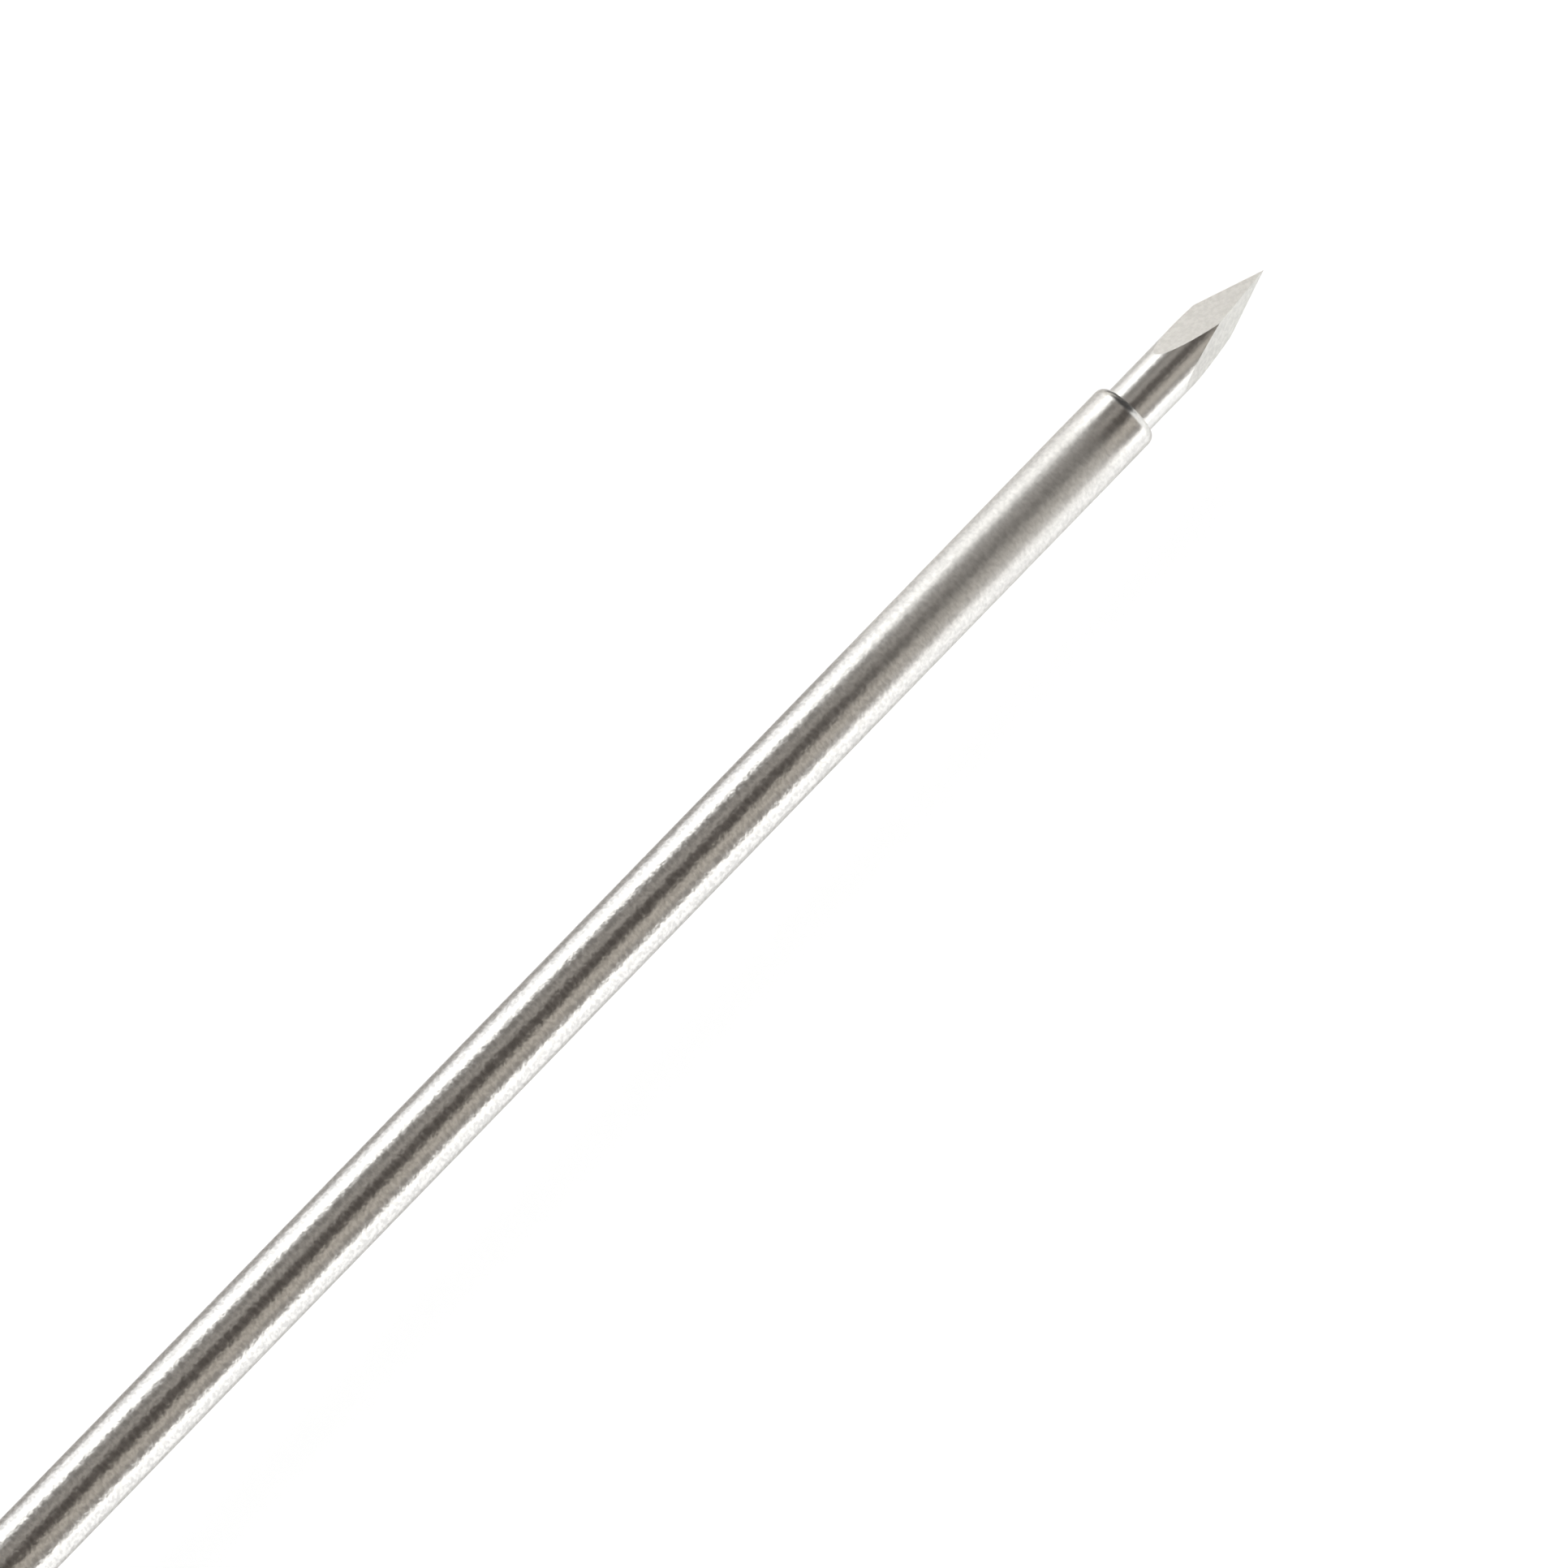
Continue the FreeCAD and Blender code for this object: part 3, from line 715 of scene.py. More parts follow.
def turned(name: str, corners: Sequence[Corner], sides: int = 128, steps: int = 4) -> bpy.types.Object:
    """Draw a closed outline by extruding a vertex, round its corners and spin it about the needle's axis.

    Args:
        name: The piece's name.
        corners: The outline's corners in order.
        sides: How many sides the piece has.
        steps: How many strips each rounding has.

    Returns:
        The finished shape.
    """
    deselect()
    bpy.ops.mesh.primitive_plane_add(size=MM)
    piece = bpy.context.object
    bpy.ops.object.mode_set(mode="EDIT")
    bpy.ops.mesh.select_mode(type="VERT")
    bpy.ops.mesh.select_all(action="SELECT")
    bpy.ops.mesh.merge(type="CENTER")
    places = [Vector((corner.x, corner.r, 0)) for corner in corners]
    bpy.ops.transform.translate(value=places[0])
    for start, end in zip(places, places[1:]):
        bpy.ops.mesh.extrude_vertices_move(TRANSFORM_OT_translate={"value": end - start})
    ends = (places[0], places[-1])
    pick(piece, lambda v: min((v.co - end).length for end in ends) < NEAR, Kind.VERT)
    bpy.ops.mesh.edge_face_add()
    for corner, place in zip(corners, places):
        if corner.rounding:
            pick(piece, lambda v: (v.co - place).length < NEAR, Kind.VERT)
            bpy.ops.mesh.bevel(offset=corner.rounding, segments=steps, affect="VERTICES")
    bpy.ops.mesh.select_all(action="SELECT")
    bpy.ops.mesh.spin(steps=sides, angle=2 * math.pi, center=(0, 0, 0), axis=(1, 0, 0))
    return settle(piece, name)


@dataclass(frozen=True)
class Facet:
    """One ground facet of the point: where it faces, turned from straight up towards -Y, and its angle."""

    faces: float
    angle: float

    def outward(self) -> Triple:
        """The way that the facet faces."""
        around, lean = math.radians(self.faces), math.radians(self.angle)
        return math.sin(lean), -math.sin(around) * math.cos(lean), math.cos(around) * math.cos(lean)


@dataclass
class Needle:
    """The cannula and the stylet: the two pieces that the view is about."""

    lumen_r: float = 1.194 * MM
    rim_round: float = 0.30 * MM
    rim_steps: int = 10
    rim_stretch: float = 1.4
    groove_front: float = -90.7 * MM
    groove_width: float = 0.8 * MM
    groove_depth: float = 0.06 * MM
    facets: tuple[Facet, ...] = (Facet(68.0, 11.7), Facet(194.0, 10.5), Facet(312.0, 10.9))
    apex_runout: float = 0.06 * MM
    crisp_angle: float = 8.0

    def cannula(self) -> None:
        """Model the tube with its bore, its rounded distal rim and the depth stop's parking groove."""
        low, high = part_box("cannula")
        radius = high.z
        tube = round_bar(low.x, high.x, radius)
        hollow(tube, radius - self.lumen_r)
        middle = self.groove_front - self.groove_width / 2
        cut_across(tube, self.groove_front, middle, self.groove_front - self.groove_width)
        clear = self.lumen_r + NEAR
        pick(tube, lambda v: abs(v.co.x - middle) < NEAR and radius_of(v.co) > clear, Kind.VERT)
        share = (radius - self.groove_depth) / radius
        bpy.ops.transform.resize(value=(1, share, share), center_override=(middle, 0, 0))
        pick_ring(tube, high.x, lambda point: radius_of(point) > radius - NEAR)
        bpy.ops.mesh.bevel(offset=self.rim_round, segments=self.rim_steps, affect="EDGES")
        start = high.x - self.rim_round - NEAR
        pick(tube, lambda v: v.co.x > start and radius_of(v.co) > clear, Kind.VERT)
        bpy.ops.transform.resize(value=(self.rim_stretch, 1, 1), center_override=(high.x, 0, 0))
        dress(settle(tube, "cannula_tube"), Body.CANNULA, Slot.CANNULA_STEEL, "cannula")

    def stylet(self) -> None:
        """Model the rod and grind its facets, whose planes all pass through the point."""
        low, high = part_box("stylet")
        apex = (high.x, self.apex_runout, 0)
        rod = round_bar(low.x, high.x + SPARE, high.z)
        bpy.ops.object.mode_set(mode="EDIT")
        for facet in self.facets:
            bpy.ops.mesh.select_all(action="SELECT")
            bpy.ops.mesh.bisect(
                plane_co=apex, plane_no=facet.outward(), use_fill=True, clear_outer=True, threshold=SAME)
        settle(rod, "stylet_rod", self.crisp_angle)
        rod.data.materials.append(finish_of(Slot.STYLET_STEEL))
        rod.data.materials.append(FACET_FINISH.material())
        for face in rod.data.polygons:
            if face.normal.x > BESIDE:
                face.material_index = 1
        dress(rod, Body.STYLET, Slot.STYLET_STEEL, "stylet")

    def build(self) -> None:
        """Build both pieces."""
        self.cannula()
        self.stylet()


@dataclass
class Nose:
    """The tapered ring at the front of the handle and the soft ring at its back."""

    front_r: float = 2.6 * MM
    shoulder: float = 2.5 * MM
    shoulder_r: float = 4.6 * MM
    shoulder_round: float = 1.0 * MM
    bore_r: float = 1.574 * MM
    cup_r: float = 3.85 * MM
    cup_depth: float = 5.55 * MM
    front_round: float = 0.5 * MM
    rim_round: float = 0.2 * MM
    seal_bore_r: float = 4.02 * MM

    def ring(self) -> None:
        """Turn the nose ring."""
        low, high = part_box("nose_ring")
        step = low.x + self.cup_depth
        ring = turned("nose_cone", (
            Corner(high.x, self.bore_r, self.rim_round / 2), Corner(step, self.bore_r),
            Corner(step, self.cup_r), Corner(low.x, self.cup_r), Corner(low.x, high.z, self.rim_round),
            Corner(low.x + self.shoulder, self.shoulder_r, self.shoulder_round),
            Corner(high.x, self.front_r, self.front_round)))
        dress(ring, Body.CANNULA, Slot.ALUMINIUM, "nose_ring")

    def gasket(self) -> None:
        """Turn the soft ring round the port."""
        low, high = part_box("port_gasket")
        ring = turned("port_seal", (
            Corner(low.x, self.seal_bore_r), Corner(high.x, self.seal_bore_r), Corner(high.x, high.z),
            Corner(low.x, high.z, self.rim_round)))
        dress(ring, Body.CANNULA, Slot.SOFT, "port_gasket")

    def build(self) -> None:
        """Build both rings."""
        self.ring()
        self.gasket()


@dataclass
class Handle:
    """The two moulded shells, whose outer edges are broken at the joint, so that the parting line shows."""

    flank: float = 5.0 * MM
    parting_edge: float = 0.2 * MM

    def shell(self, node: str) -> None:
        """Copy one shell and break its outer edge at the joint, which lies in the plane of the needle.

        Args:
            node: The shell's node.
        """
        shell = smoothed_copy(node, Body.CANNULA, Slot.HANDLE)
        outside = set()
        for face in shell.data.polygons:
            heights = [abs(shell.data.vertices[index].co.z) for index in face.vertices]
            from_joint_to_top = min(heights) < NEAR and abs(max(heights) - self.flank) < NEAR
            if abs(face.normal.z) < BESIDE and from_joint_to_top:
                outside.update(face.edge_keys)
        pick(shell, lambda edge: edge.key in outside and all(
            abs(p.z) < NEAR for p in edge_points(shell, edge)), Kind.EDGE)
        bpy.ops.mesh.bevel(offset=self.parting_edge, segments=1, affect="EDGES")
        bpy.ops.object.mode_set(mode="OBJECT")

    def build(self) -> None:
        """Build both shells."""
        self.shell("handle_lower_shell")
        self.shell("handle_upper_shell")


@dataclass
class LockRing:
    """The soft fluted band of the quarter-turn ring."""

    bore_r: float = 6.02 * MM
    flute_r: float = 0.7 * MM
    flute_count: int = 18
    sides_per_flute: int = 20
    edge: float = 0.3 * MM

    def grip(self) -> None:
        """Model the band as a bar of many sides whose flutes are pressed in ring by ring."""
        low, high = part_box("lock_ring_grip")
        radius = high.z
        sides = self.flute_count * self.sides_per_flute
        band = round_bar(low.x, high.x, radius, sides)
        hollow(band, radius - self.bore_r)
        bottom = (self.bore_r + radius - self.flute_r) / 2
        step = 2 * math.pi / sides
        reach = int(math.asin(self.flute_r / radius) / step)
        for offset in range(reach + 1):
            turn = offset * step

            def is_this_far_round(v: bpy.types.MeshVertex) -> bool:
                """Say whether a vertex of the outside stands this many sides from the middle of a flute."""
                side = round(math.atan2(v.co.z, v.co.y) / step) % self.sides_per_flute
                return min(side, self.sides_per_flute - side) == offset and radius_of(v.co) > bottom

            pick(band, is_this_far_round, Kind.VERT)
            share = math.cos(turn) - math.sqrt((self.flute_r / radius) ** 2 - math.sin(turn) ** 2)
            bpy.ops.transform.resize(value=(1, share, share), center_override=(0, 0, 0))
        for x in (low.x, high.x):
            pick_ring(band, x, lambda point: radius_of(point) > bottom)
            bpy.ops.mesh.bevel(offset=self.edge, segments=3, affect="EDGES")
        dress(settle(band, "ring_grip"), Body.RING, Slot.SOFT, "lock_ring_grip")

    def build(self) -> None:
        """Build the band."""
        self.grip()


@dataclass
class Cap:
    """The palm cap of the stylet: moulded cap, its front plate, soft band and steel strike plate."""

    wall: float = 1.8 * MM
    rear_round: float = 3.5 * MM
    rear_steps: int = 12
    gap: float = 0.05 * MM
    band_depth: float = 0.9 * MM
    groove_round: float = 0.15 * MM
    rib_count: int = 5
    rib_steps: int = 6
    rib_depth: float = 0.35 * MM
    plate_thickness: float = 2.0 * MM
    plate_edge: float = 0.6 * MM
    journal_r: float = 3.05 * MM
    tongue_y: float = 10.5 * MM
    tongue_width: float = 3.0 * MM
    tongue_height: float = 6.0 * MM
    tongue_edge: float = 0.4 * MM
    strike_edge: float = 0.3 * MM
    sides: int = 98
    round_sides: int = 96
    band_crisp_angle: float = 60.0

    def shell(self) -> None:
        """Model the hollow cap with its rounded back, the band's groove and the strike plate's seat."""
        low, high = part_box("stylet_cap")
        cap = oval_bar(low.x, high.x, high.y - low.y, high.z - low.z, self.sides)
        rear, front = (corner.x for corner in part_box("cap_grip_band"))
        groove = (rear - self.gap, front + self.gap)
        cut_across(cap, *groove)
        pick(cap, lambda face: groove[0] < face.center.x < groove[1])
        bpy.ops.mesh.extrude_region_shrink_fatten(
            TRANSFORM_OT_shrink_fatten={"value": -self.band_depth - self.gap})
        outside = high.z - self.band_depth / 2
        for x in groove:
            pick_ring(cap, x, lambda point: oval_radius(point, high) > outside)
            bpy.ops.mesh.bevel(offset=self.groove_round, segments=2, affect="EDGES")
        round_rim(cap, low.x, self.rear_round, self.rear_steps)
        disc_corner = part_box("strike_plate")[1]
        seat_r = disc_corner.z + self.gap
        seat_depth = disc_corner.x + self.gap - low.x
        open_end(cap, low.x, seat_r, self.sides)
        pick_ring(cap, low.x, lambda point: radius_of(point) < seat_r + NEAR)
        bpy.ops.mesh.extrude_edges_move(TRANSFORM_OT_translate={"value": (seat_depth, 0, 0)})
        bpy.ops.mesh.edge_face_add()
        pick(cap, lambda face: abs(face.center.x - high.x) < NEAR and face.normal.x > SQUARE)
        bpy.ops.mesh.inset(thickness=self.wall)
        depth = high.x - low.x - self.wall
        bpy.ops.mesh.extrude_region_move(TRANSFORM_OT_translate={"value": (-depth, 0, 0)})
        dress(settle(cap, "palm_cap"), Body.STYLET, Slot.CAP, "stylet_cap")

    def plate(self) -> None:
        """Model the plate that closes the cap, with the two tongues that key it to the handle."""
        low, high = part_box("stylet_cap")
        front = high.x + self.plate_thickness
        plate = oval_bar(high.x, front, high.y - low.y, high.z - low.z, self.sides)
        round_rim(plate, front, self.plate_edge, steps=4)
        journal = round_bar(high.x - SPARE, front + SPARE, self.journal_r, self.round_sides)
        combine(plate, journal, Way.CUT)
        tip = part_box("cap_front_plate")[1].x
        root = front - self.plate_thickness / 2
        for side in (1, -1):
            deselect()
            bpy.ops.mesh.primitive_cube_add(
                size=1, location=((root + tip) / 2, side * self.tongue_y, 0),
                scale=(tip - root, self.tongue_width, self.tongue_height))
            tongue = bpy.context.object
            bpy.ops.object.transform_apply(location=True, rotation=True, scale=True)
            pick(tongue, lambda edge: max(p.x for p in edge_points(tongue, edge)) > tip - NEAR, Kind.EDGE)
            bpy.ops.mesh.bevel(offset=self.tongue_edge, segments=3, affect="EDGES")
            bpy.ops.object.mode_set(mode="OBJECT")
            combine(plate, tongue, Way.JOIN)
        dress(settle(plate, "cap_front"), Body.STYLET, Slot.CAP, "cap_front_plate")

    def band(self) -> None:
        """Model the soft band, with ribs that run round it."""
        low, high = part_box("cap_grip_band")
        band = oval_bar(low.x, high.x, high.y - low.y, high.z - low.z, self.sides)
        hollow(band, self.band_depth + high.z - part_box("stylet_cap")[1].z)
        count = self.rib_count * self.rib_steps
        rings = [low.x + (high.x - low.x) * i / count for i in range(count + 1)]
        cut_across(band, *rings[1:-1])
        outside = high.z - self.band_depth / 2
        for index, x in enumerate(rings):
            sink = self.rib_depth * (1 + math.cos(2 * math.pi * index / self.rib_steps)) / 2
            pick(band, lambda v: abs(v.co.x - x) < NEAR and oval_radius(v.co, high) > outside, Kind.VERT)
            bpy.ops.transform.resize(
                value=(1, 1 - sink / high.y, 1 - sink / high.z), center_override=(x, 0, 0))
        settle(band, "cap_band", self.band_crisp_angle)
        dress(band, Body.STYLET, Slot.SOFT, "cap_grip_band")

    def strike(self) -> None:
        """Model the steel disc that a mallet strikes."""
        low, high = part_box("strike_plate")
        disc = round_bar(low.x, high.x, high.z, self.round_sides)
        round_rim(disc, low.x, self.strike_edge)
        disc.data.materials.append(FACED_FINISH.material())
        dress(settle(disc, "strike_disc"), Body.STYLET, Slot.STYLET_STEEL, "strike_plate")

    def build(self) -> None:
        """Build the cap's pieces."""
        self.shell()
        self.plate()
        self.band()
        self.strike()


@dataclass
class DepthStop:
    """The sliding stop and its soft bush."""

    seat_r: float = 2.52 * MM
    rear_r: float = 5.2 * MM
    waist_r: float = 3.9 * MM
    rim: float = 1.6 * MM
    edge: float = 0.5 * MM
    front_waist_round: float = 1.6 * MM
    rear_waist_round: float = 1.2 * MM
    lip_seat_r: float = 3.12 * MM
    lip_depth: float = 0.85 * MM
    bush_bore_r: float = 1.544 * MM
    bush_r: float = 2.5 * MM
    lip: float = 0.8 * MM

    def body(self) -> None:
        """Turn the stop's body."""
        low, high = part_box("depth_stop_body")
        lip_end = low.x + self.lip_depth
        body = turned("stop_body", (
            Corner(lip_end, self.seat_r), Corner(lip_end, self.lip_seat_r), Corner(low.x, self.lip_seat_r),
            Corner(low.x, self.rear_r, self.edge), Corner(low.x + self.rim, self.rear_r, self.edge / 2),
            Corner(low.x + self.rim, self.waist_r, self.rear_waist_round),
            Corner(high.x - self.rim, self.waist_r, self.front_waist_round),
            Corner(high.x - self.rim, high.z, self.edge), Corner(high.x, high.z, self.edge),
            Corner(high.x, self.seat_r, self.edge / 4)), steps=6)
        dress(body, Body.STOP, Slot.PORT, "depth_stop_body")

    def bush(self) -> None:
        """Turn the soft bush."""
        low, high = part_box("depth_stop_grommet")
        bush = turned("stop_bush", (
            Corner(low.x, self.bush_bore_r, self.edge / 3), Corner(low.x, high.z, self.edge / 3),
            Corner(low.x + self.lip, high.z), Corner(low.x + self.lip, self.bush_r),
            Corner(high.x, self.bush_r), Corner(high.x, self.bush_bore_r, self.edge / 3)))
        dress(bush, Body.STOP, Slot.SOFT, "depth_stop_grommet")

    def build(self) -> None:
        """Build the stop."""
        self.body()
        self.bush()


@dataclass(frozen=True)
class Panel:
    """A curved sheet of the light tent, which only polished surfaces see.

    Its edges are angles in degrees about the needle's axis from straight up, positive towards -Y.
    """

    name: str
    start: float
    end: float
    colour: Colour


@dataclass(frozen=True)
class Sheet:
    """A level sheet on the floor, with its ends along X and along Y. Only reflections see it."""

    name: str
    x: Span
    y: Span
    colour: Colour


@dataclass(frozen=True)
class Card:
    """An upright card across the needle, with its ends along Y and along Z. Only reflections see it."""

    name: str
    x: float
    y: Span
    z: Span
    colour: Colour


@dataclass(frozen=True)
class Lamp:
    """A soft square lamp: where it hangs, its power in watts and its side."""

    name: str
    place: Triple
    power: float
    side: float


@dataclass
class Studio:
    """Floor, light tent, lamps, world and camera. Places in the photograph are in its own pixels."""

    floor_z: float = -9 * MM
    floor_size: float = 30.0
    paper: Colour = (0.82, 0.82, 0.82)
    floor_glow: float = 0.40
    sky_seen: float = 1.0
    sky_light: float = 0.55
    tent_r: float = 0.6
    tent_length: float = 1.6
    tent_sides: int = 360
    sheet_rise: float = 0.2 * MM
    lamp_aim: Triple = (-80 * MM, 0, 0)
    lens: float = 600.0
    sensor: float = 36.0
    nearest: float = 0.05
    farthest: float = 20.0
    photo_side: float = 1932.0
    tube_px: float = 91.8
    rim_px: tuple[float, float] = (1390.4, 506.9)
    needle_turn: float = math.radians(45.84)
    needle_tilt: float = math.radians(10.0)
    panels: tuple[Panel, ...] = (
        Panel("left_softbox", -90, -64.5, (1.85, 1.84, 1.80)),
        Panel("left_shade", -64.5, -36, (0.16, 0.146, 0.132)),
        Panel("left_reflector", -36, -17, (0.36, 0.335, 0.305)),
        Panel("lens_opening", -17, 19.5, (0.056, 0.046, 0.04)),
        Panel("right_reflector", 19.5, 46, (0.48, 0.44, 0.385)),
        Panel("right_shade", 46, 72, (0.225, 0.205, 0.185)),
        Panel("right_softbox", 72, 90, (1.70, 1.69, 1.65)),
    )
    sheets: tuple[Sheet, ...] = (
        Sheet("left_under_shade", (-99 * MM, -13 * MM), (5 * MM, 21 * MM), (0.38, 0.36, 0.34)),
        Sheet("left_point_shade", (-13 * MM, 9 * MM), (5 * MM, 21 * MM), (0.60, 0.58, 0.55)),
        Sheet("right_under_shade", (-99 * MM, 1 * MM), (-11 * MM, -2 * MM), (0.62, 0.61, 0.595)),
        Sheet("right_point_shade", (1 * MM, 8 * MM), (-11 * MM, -2 * MM), (0.73, 0.72, 0.70)),
        Sheet("right_front_shade", (8 * MM, 50 * MM), (-40 * MM, -2 * MM), (0.88, 0.885, 0.86)),
        Sheet("left_front_shade", (8 * MM, 60 * MM), (21 * MM, 90 * MM), (1.0, 0.965, 0.895)),
        Sheet("near_front_shade", (9 * MM, 60 * MM), (-2 * MM, 21 * MM), (0.03, 0.03, 0.03)),
        Sheet("far_front_shade", (60 * MM, 790 * MM), (-10 * MM, 500 * MM), (0.03, 0.03, 0.03)),
    )
    cards: tuple[Card, ...] = (
        Card("end_shade", 0.36, (-0.066, 0.654), (0.0, 0.72), (0.03, 0.03, 0.03)),
        Card("end_softbox", 0.36, (-0.786, -0.066), (0.0, 0.72), (1.0, 1.0, 0.98)),
        Card("rear_card", -0.8, (-0.6, 0.6), (floor_z, floor_z + 0.3), (0.30, 0.295, 0.285)),
    )
    lamps: tuple[Lamp, ...] = (
        Lamp("key_lamp", (-0.45, 0.55, 0.85), 3.6, 0.6),
        Lamp("fill_lamp", (0.35, -0.65, 0.65), 1.6, 0.6),
    )

    def glow(self, name: str, colour: Colour) -> bpy.types.Material:
        """A plainly shining material.

        Args:
            name: Its name.
            colour: Its radiance, where 1 is white.

        Returns:
            The material.
        """
        material = bpy.data.materials.new(name)
        material.use_nodes = True
        nodes = material.node_tree.nodes
        nodes.clear()
        light = nodes.new("ShaderNodeEmission")
        light.inputs["Color"].default_value = (*colour, 1.0)
        output = nodes.new("ShaderNodeOutputMaterial")
        material.node_tree.links.new(light.outputs[0], output.inputs["Surface"])
        return material

    def finish_sheet(self, sheet: bpy.types.Object, name: str, colour: Colour) -> None:
        """Name a sheet, let it shine and let only reflections see it.

        Args:
            sheet: The sheet.
            name: Its name.
            colour: Its radiance.
        """
        sheet.name = name
        sheet.data.materials.append(self.glow(name, colour))
        sheet.visible_camera = False
        sheet.visible_diffuse = False
        sheet.visible_shadow = False
        sheet.visible_transmission = False

    def tent(self) -> None:
        """Hang the curved panels round the needle's axis."""
        for panel in self.panels:
            deselect()
            bpy.ops.mesh.primitive_cylinder_add(
                vertices=self.tent_sides, radius=self.tent_r, depth=self.tent_length,
                end_fill_type="NOTHING", rotation=ALONG_X)
            sheet = bpy.context.object
            bpy.ops.object.transform_apply(location=True, rotation=True, scale=True)
            bpy.ops.object.mode_set(mode="EDIT")
            for edge, way in ((panel.start, -1), (panel.end, 1)):
                angle = math.radians(edge)
                normal = (0, -way * math.cos(angle), -way * math.sin(angle))
                bpy.ops.mesh.select_all(action="SELECT")
                bpy.ops.mesh.bisect(plane_co=(0, 0, 0), plane_no=normal, clear_outer=True, threshold=SAME)
            bpy.ops.object.mode_set(mode="OBJECT")
            self.finish_sheet(sheet, panel.name, panel.colour)
            log.info("%s from %g to %g degrees", panel.name, panel.start, panel.end)

    def flat(self, x: Span, y: Span, z: Span) -> bpy.types.Object:
        """Add a flat rectangle that lies level, or stands upright where it has no length along X.

        Args:
            x: Its ends along X.
            y: Its ends along Y.
            z: Its ends along Z.

        Returns:
            The rectangle.
        """
        deselect()
        upright = x[0] == x[1]
        bpy.ops.mesh.primitive_plane_add(
            size=1, location=(sum(x) / 2, sum(y) / 2, sum(z) / 2), rotation=ALONG_X if upright else (0, 0, 0))
        rectangle = bpy.context.object
        low, high = z if upright else x
        rectangle.scale = (high - low, y[1] - y[0], 1)
        return rectangle

    def shades(self) -> None:
        """Lay the sheets on the floor and stand up the cards in front of the point and behind the cap."""
        height = self.floor_z + self.sheet_rise
        for sheet in self.sheets:
            self.finish_sheet(self.flat(sheet.x, sheet.y, (height, height)), sheet.name, sheet.colour)
        for card in self.cards:
            self.finish_sheet(self.flat((card.x, card.x), card.y, card.z), card.name, card.colour)

    def seen(self, nodes: bpy.types.Nodes, links: bpy.types.NodeLinks) -> bpy.types.NodeSocket:
        """Tell seen rays from the light on the object.

        Args:
            nodes: The nodes of the material or world.
            links: Their links.

        Returns:
            One for camera, glossy and transmission rays, and zero for others.
        """
        path = nodes.new("ShaderNodeLightPath")
        total = path.outputs["Is Camera Ray"]
        for name in ("Is Glossy Ray", "Is Transmission Ray"):
            add = nodes.new("ShaderNodeMath")
            add.operation = "MAXIMUM"
            links.new(total, add.inputs[0])
            links.new(path.outputs[name], add.inputs[1])
            total = add.outputs[0]
        return total

    def scaled(
        self, nodes: bpy.types.Nodes, links: bpy.types.NodeLinks, seen_level: float, other: float
    ) -> bpy.types.NodeSocket:
        """Give seen rays one level and the light on the object another.

        Args:
            nodes: The nodes of the material or world.
            links: Their links.
            seen_level: The level for seen rays.
            other: The level for the rest.

        Returns:
            The level.
        """
        ramp = nodes.new("ShaderNodeMapRange")
        links.new(self.seen(nodes, links), ramp.inputs["Value"])
        ramp.inputs["To Min"].default_value = other
        ramp.inputs["To Max"].default_value = seen_level
        return ramp.outputs["Result"]

    def floor(self) -> None:
        """Lay the pale floor, which shows white and keeps the object's shadow."""
        deselect()
        bpy.ops.mesh.primitive_plane_add(size=self.floor_size, location=(0, 0, self.floor_z))
        floor = bpy.context.object
        floor.name = "floor"
        material = bpy.data.materials.new("white_floor")
        material.use_nodes = True
        nodes, links = material.node_tree.nodes, material.node_tree.links
        nodes.clear()
        paper = nodes.new("ShaderNodeBsdfDiffuse")
        paper.inputs["Color"].default_value = (*self.paper, 1)
        light = nodes.new("ShaderNodeEmission")
        links.new(self.scaled(nodes, links, self.floor_glow, 0.0), light.inputs["Strength"])
        both = nodes.new("ShaderNodeAddShader")
        output = nodes.new("ShaderNodeOutputMaterial")
        links.new(paper.outputs[0], both.inputs[0])
        links.new(light.outputs[0], both.inputs[1])
        links.new(both.outputs[0], output.inputs["Surface"])
        floor.data.materials.append(material)

    def world(self) -> None:
        """Light softly from all round, with white behind the object."""
        world = bpy.data.worlds.new("white_studio")
        world.use_nodes = True
        nodes, links = world.node_tree.nodes, world.node_tree.links
        strength = self.scaled(nodes, links, self.sky_seen, self.sky_light)
        links.new(strength, nodes["Background"].inputs["Strength"])
        nodes["Background"].inputs["Color"].default_value = (1, 1, 1, 1)
        bpy.context.scene.world = world

    def hang(self, lamp: Lamp) -> None:
        """Hang one soft lamp that points at the object's middle.

        Args:
            lamp: The lamp.
        """
        data = bpy.data.lights.new(lamp.name, "AREA")
        data.energy = lamp.power
        data.size = lamp.side
        light = bpy.data.objects.new(lamp.name, data)
        light.location = lamp.place
        way = Vector(self.lamp_aim) - Vector(lamp.place)
        light.rotation_euler = way.to_track_quat("-Z", "Y").to_euler()
        light.visible_glossy = False
        bpy.context.scene.collection.objects.link(light)

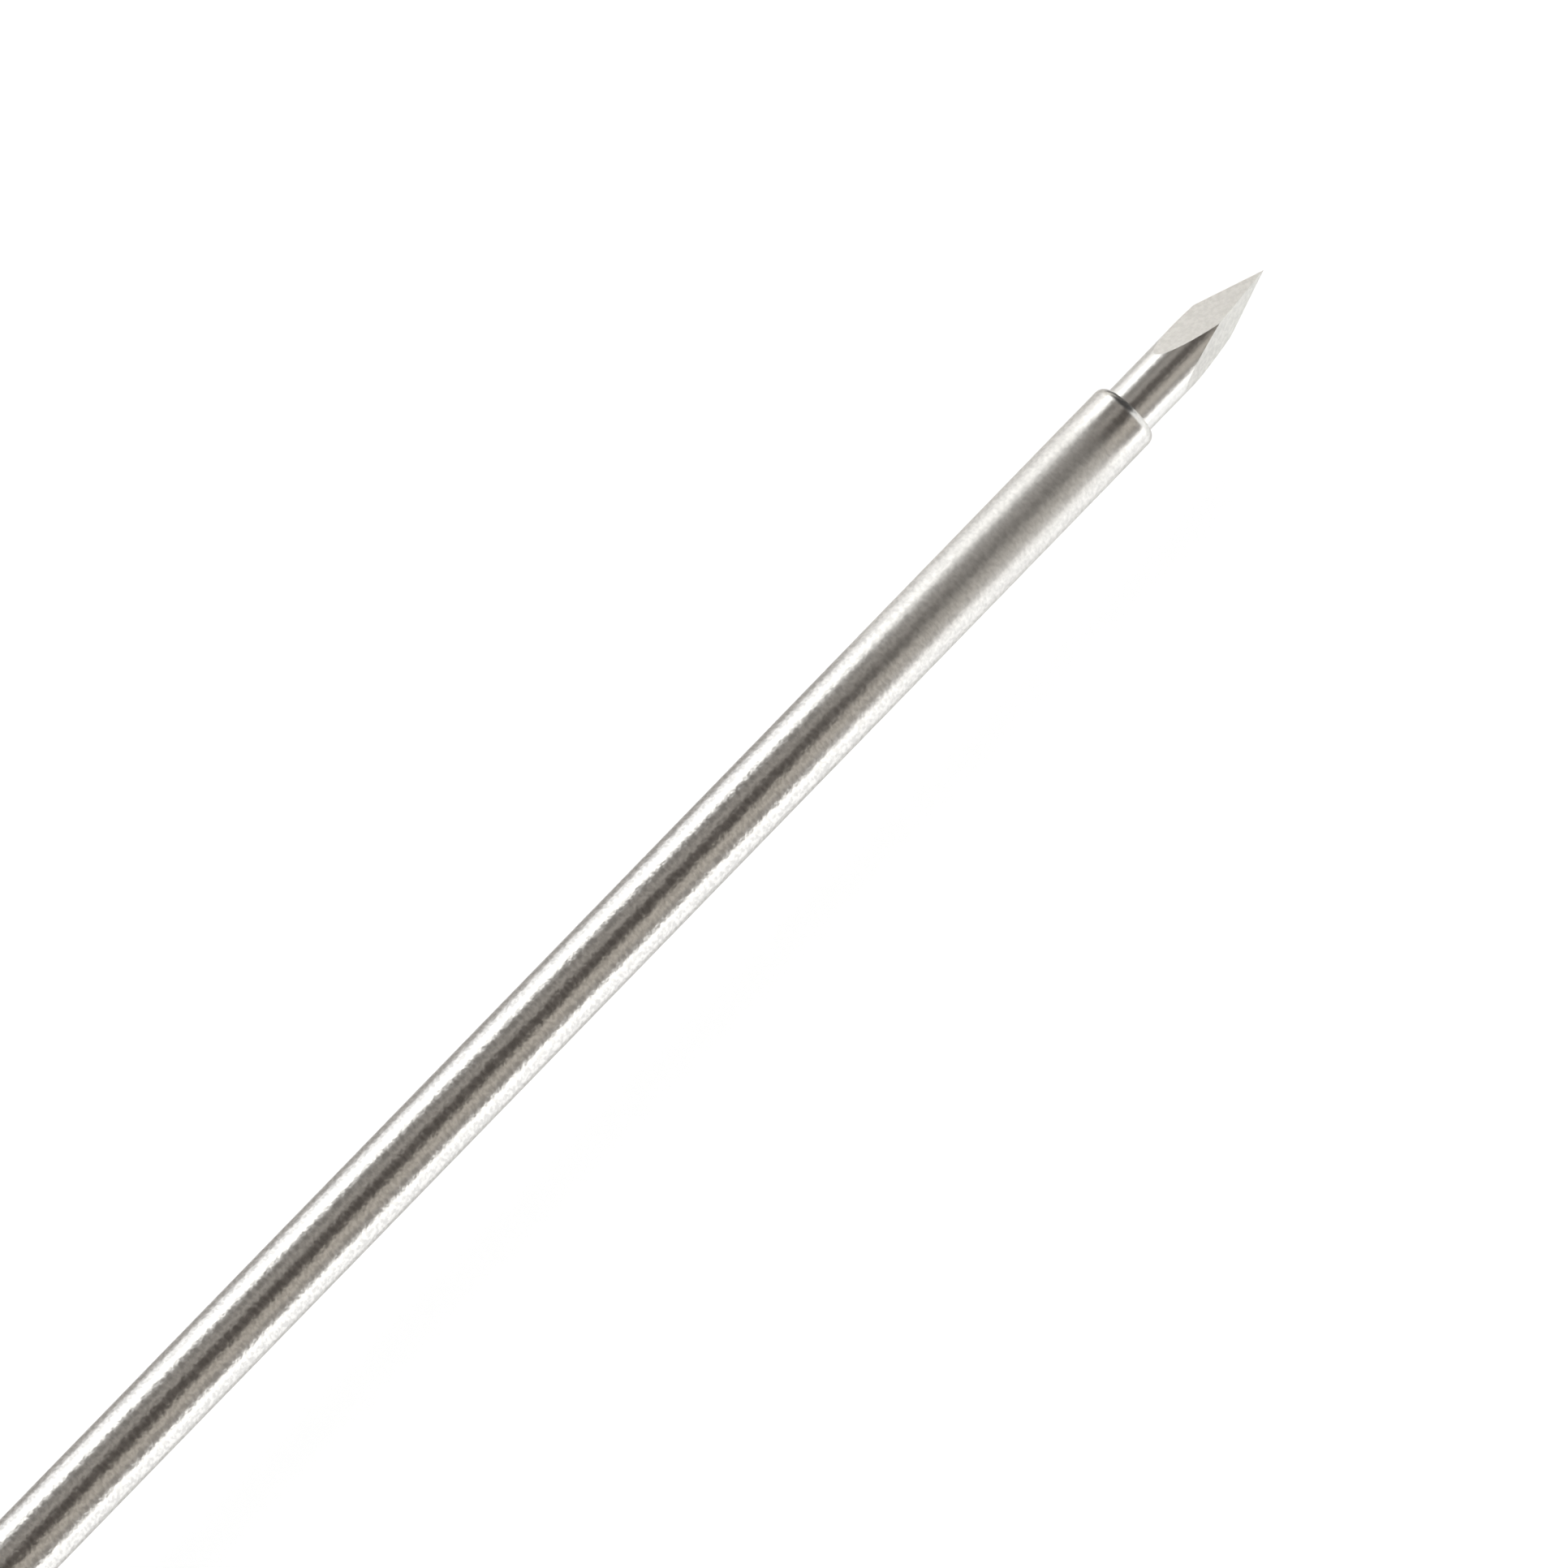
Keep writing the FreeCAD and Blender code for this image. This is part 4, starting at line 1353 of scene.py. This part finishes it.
    def camera(self) -> None:
        """Set the camera over the needle as the photograph was taken."""
        up, along, left = Vector((0, 0, 1)), Vector((1, 0, 0)), Vector((0, 1, 0))
        tilt, turn = self.needle_tilt, self.needle_turn
        back = math.cos(tilt) * up - math.sin(tilt) * along
        needle = math.cos(tilt) * along + math.sin(tilt) * up
        right = math.cos(turn) * needle - math.sin(turn) * left
        above = math.sin(turn) * needle + math.cos(turn) * left
        pixel = 2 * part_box("cannula")[1].z / self.tube_px
        half = self.photo_side / 2
        centre = -right * (self.rim_px[0] - half) * pixel - above * (half - self.rim_px[1]) * pixel
        data = bpy.data.cameras.new("photo_camera")
        data.lens = self.lens
        data.sensor_width = self.sensor
        data.clip_start = self.nearest
        data.clip_end = self.farthest
        camera = bpy.data.objects.new("photo_camera", data)
        view = Matrix((right, above, back)).transposed().to_4x4()
        view.translation = centre + back * (self.lens / self.sensor * self.photo_side * pixel)
        camera.matrix_world = view
        bpy.context.scene.collection.objects.link(camera)
        bpy.context.scene.camera = camera

    def build(self) -> None:
        """Set up the whole studio."""
        self.camera()
        self.world()
        self.floor()
        self.tent()
        self.shades()
        for lamp in self.lamps:
            self.hang(lamp)
        bpy.context.scene.view_settings.view_transform = "Standard"


# The nodes whose own shape shows, with the body and the slot of each.
KEPT = {
    "cannula_collar": (Body.CANNULA, Slot.COLLAR_STEEL),
    "luer_port": (Body.CANNULA, Slot.PORT),
    "left_finger_pad": (Body.CANNULA, Slot.SOFT),
    "right_finger_pad": (Body.CANNULA, Slot.SOFT),
    "stylet_core": (Body.STYLET, Slot.PORT),
    "stylet_anvil": (Body.STYLET, Slot.COLLAR_STEEL),
    "lock_ring": (Body.RING, Slot.HANDLE),
}


def main() -> None:
    """Build the studio and every sub-assembly."""
    logging.basicConfig(level=logging.INFO, format="%(message)s")
    Studio().build()
    for part in (Needle(), Nose(), Handle(), LockRing(), Cap(), DepthStop()):
        part.build()
    for node, (body, slot) in KEPT.items():
        smoothed_copy(node, body, slot)


if __name__ == "__main__":
    main()
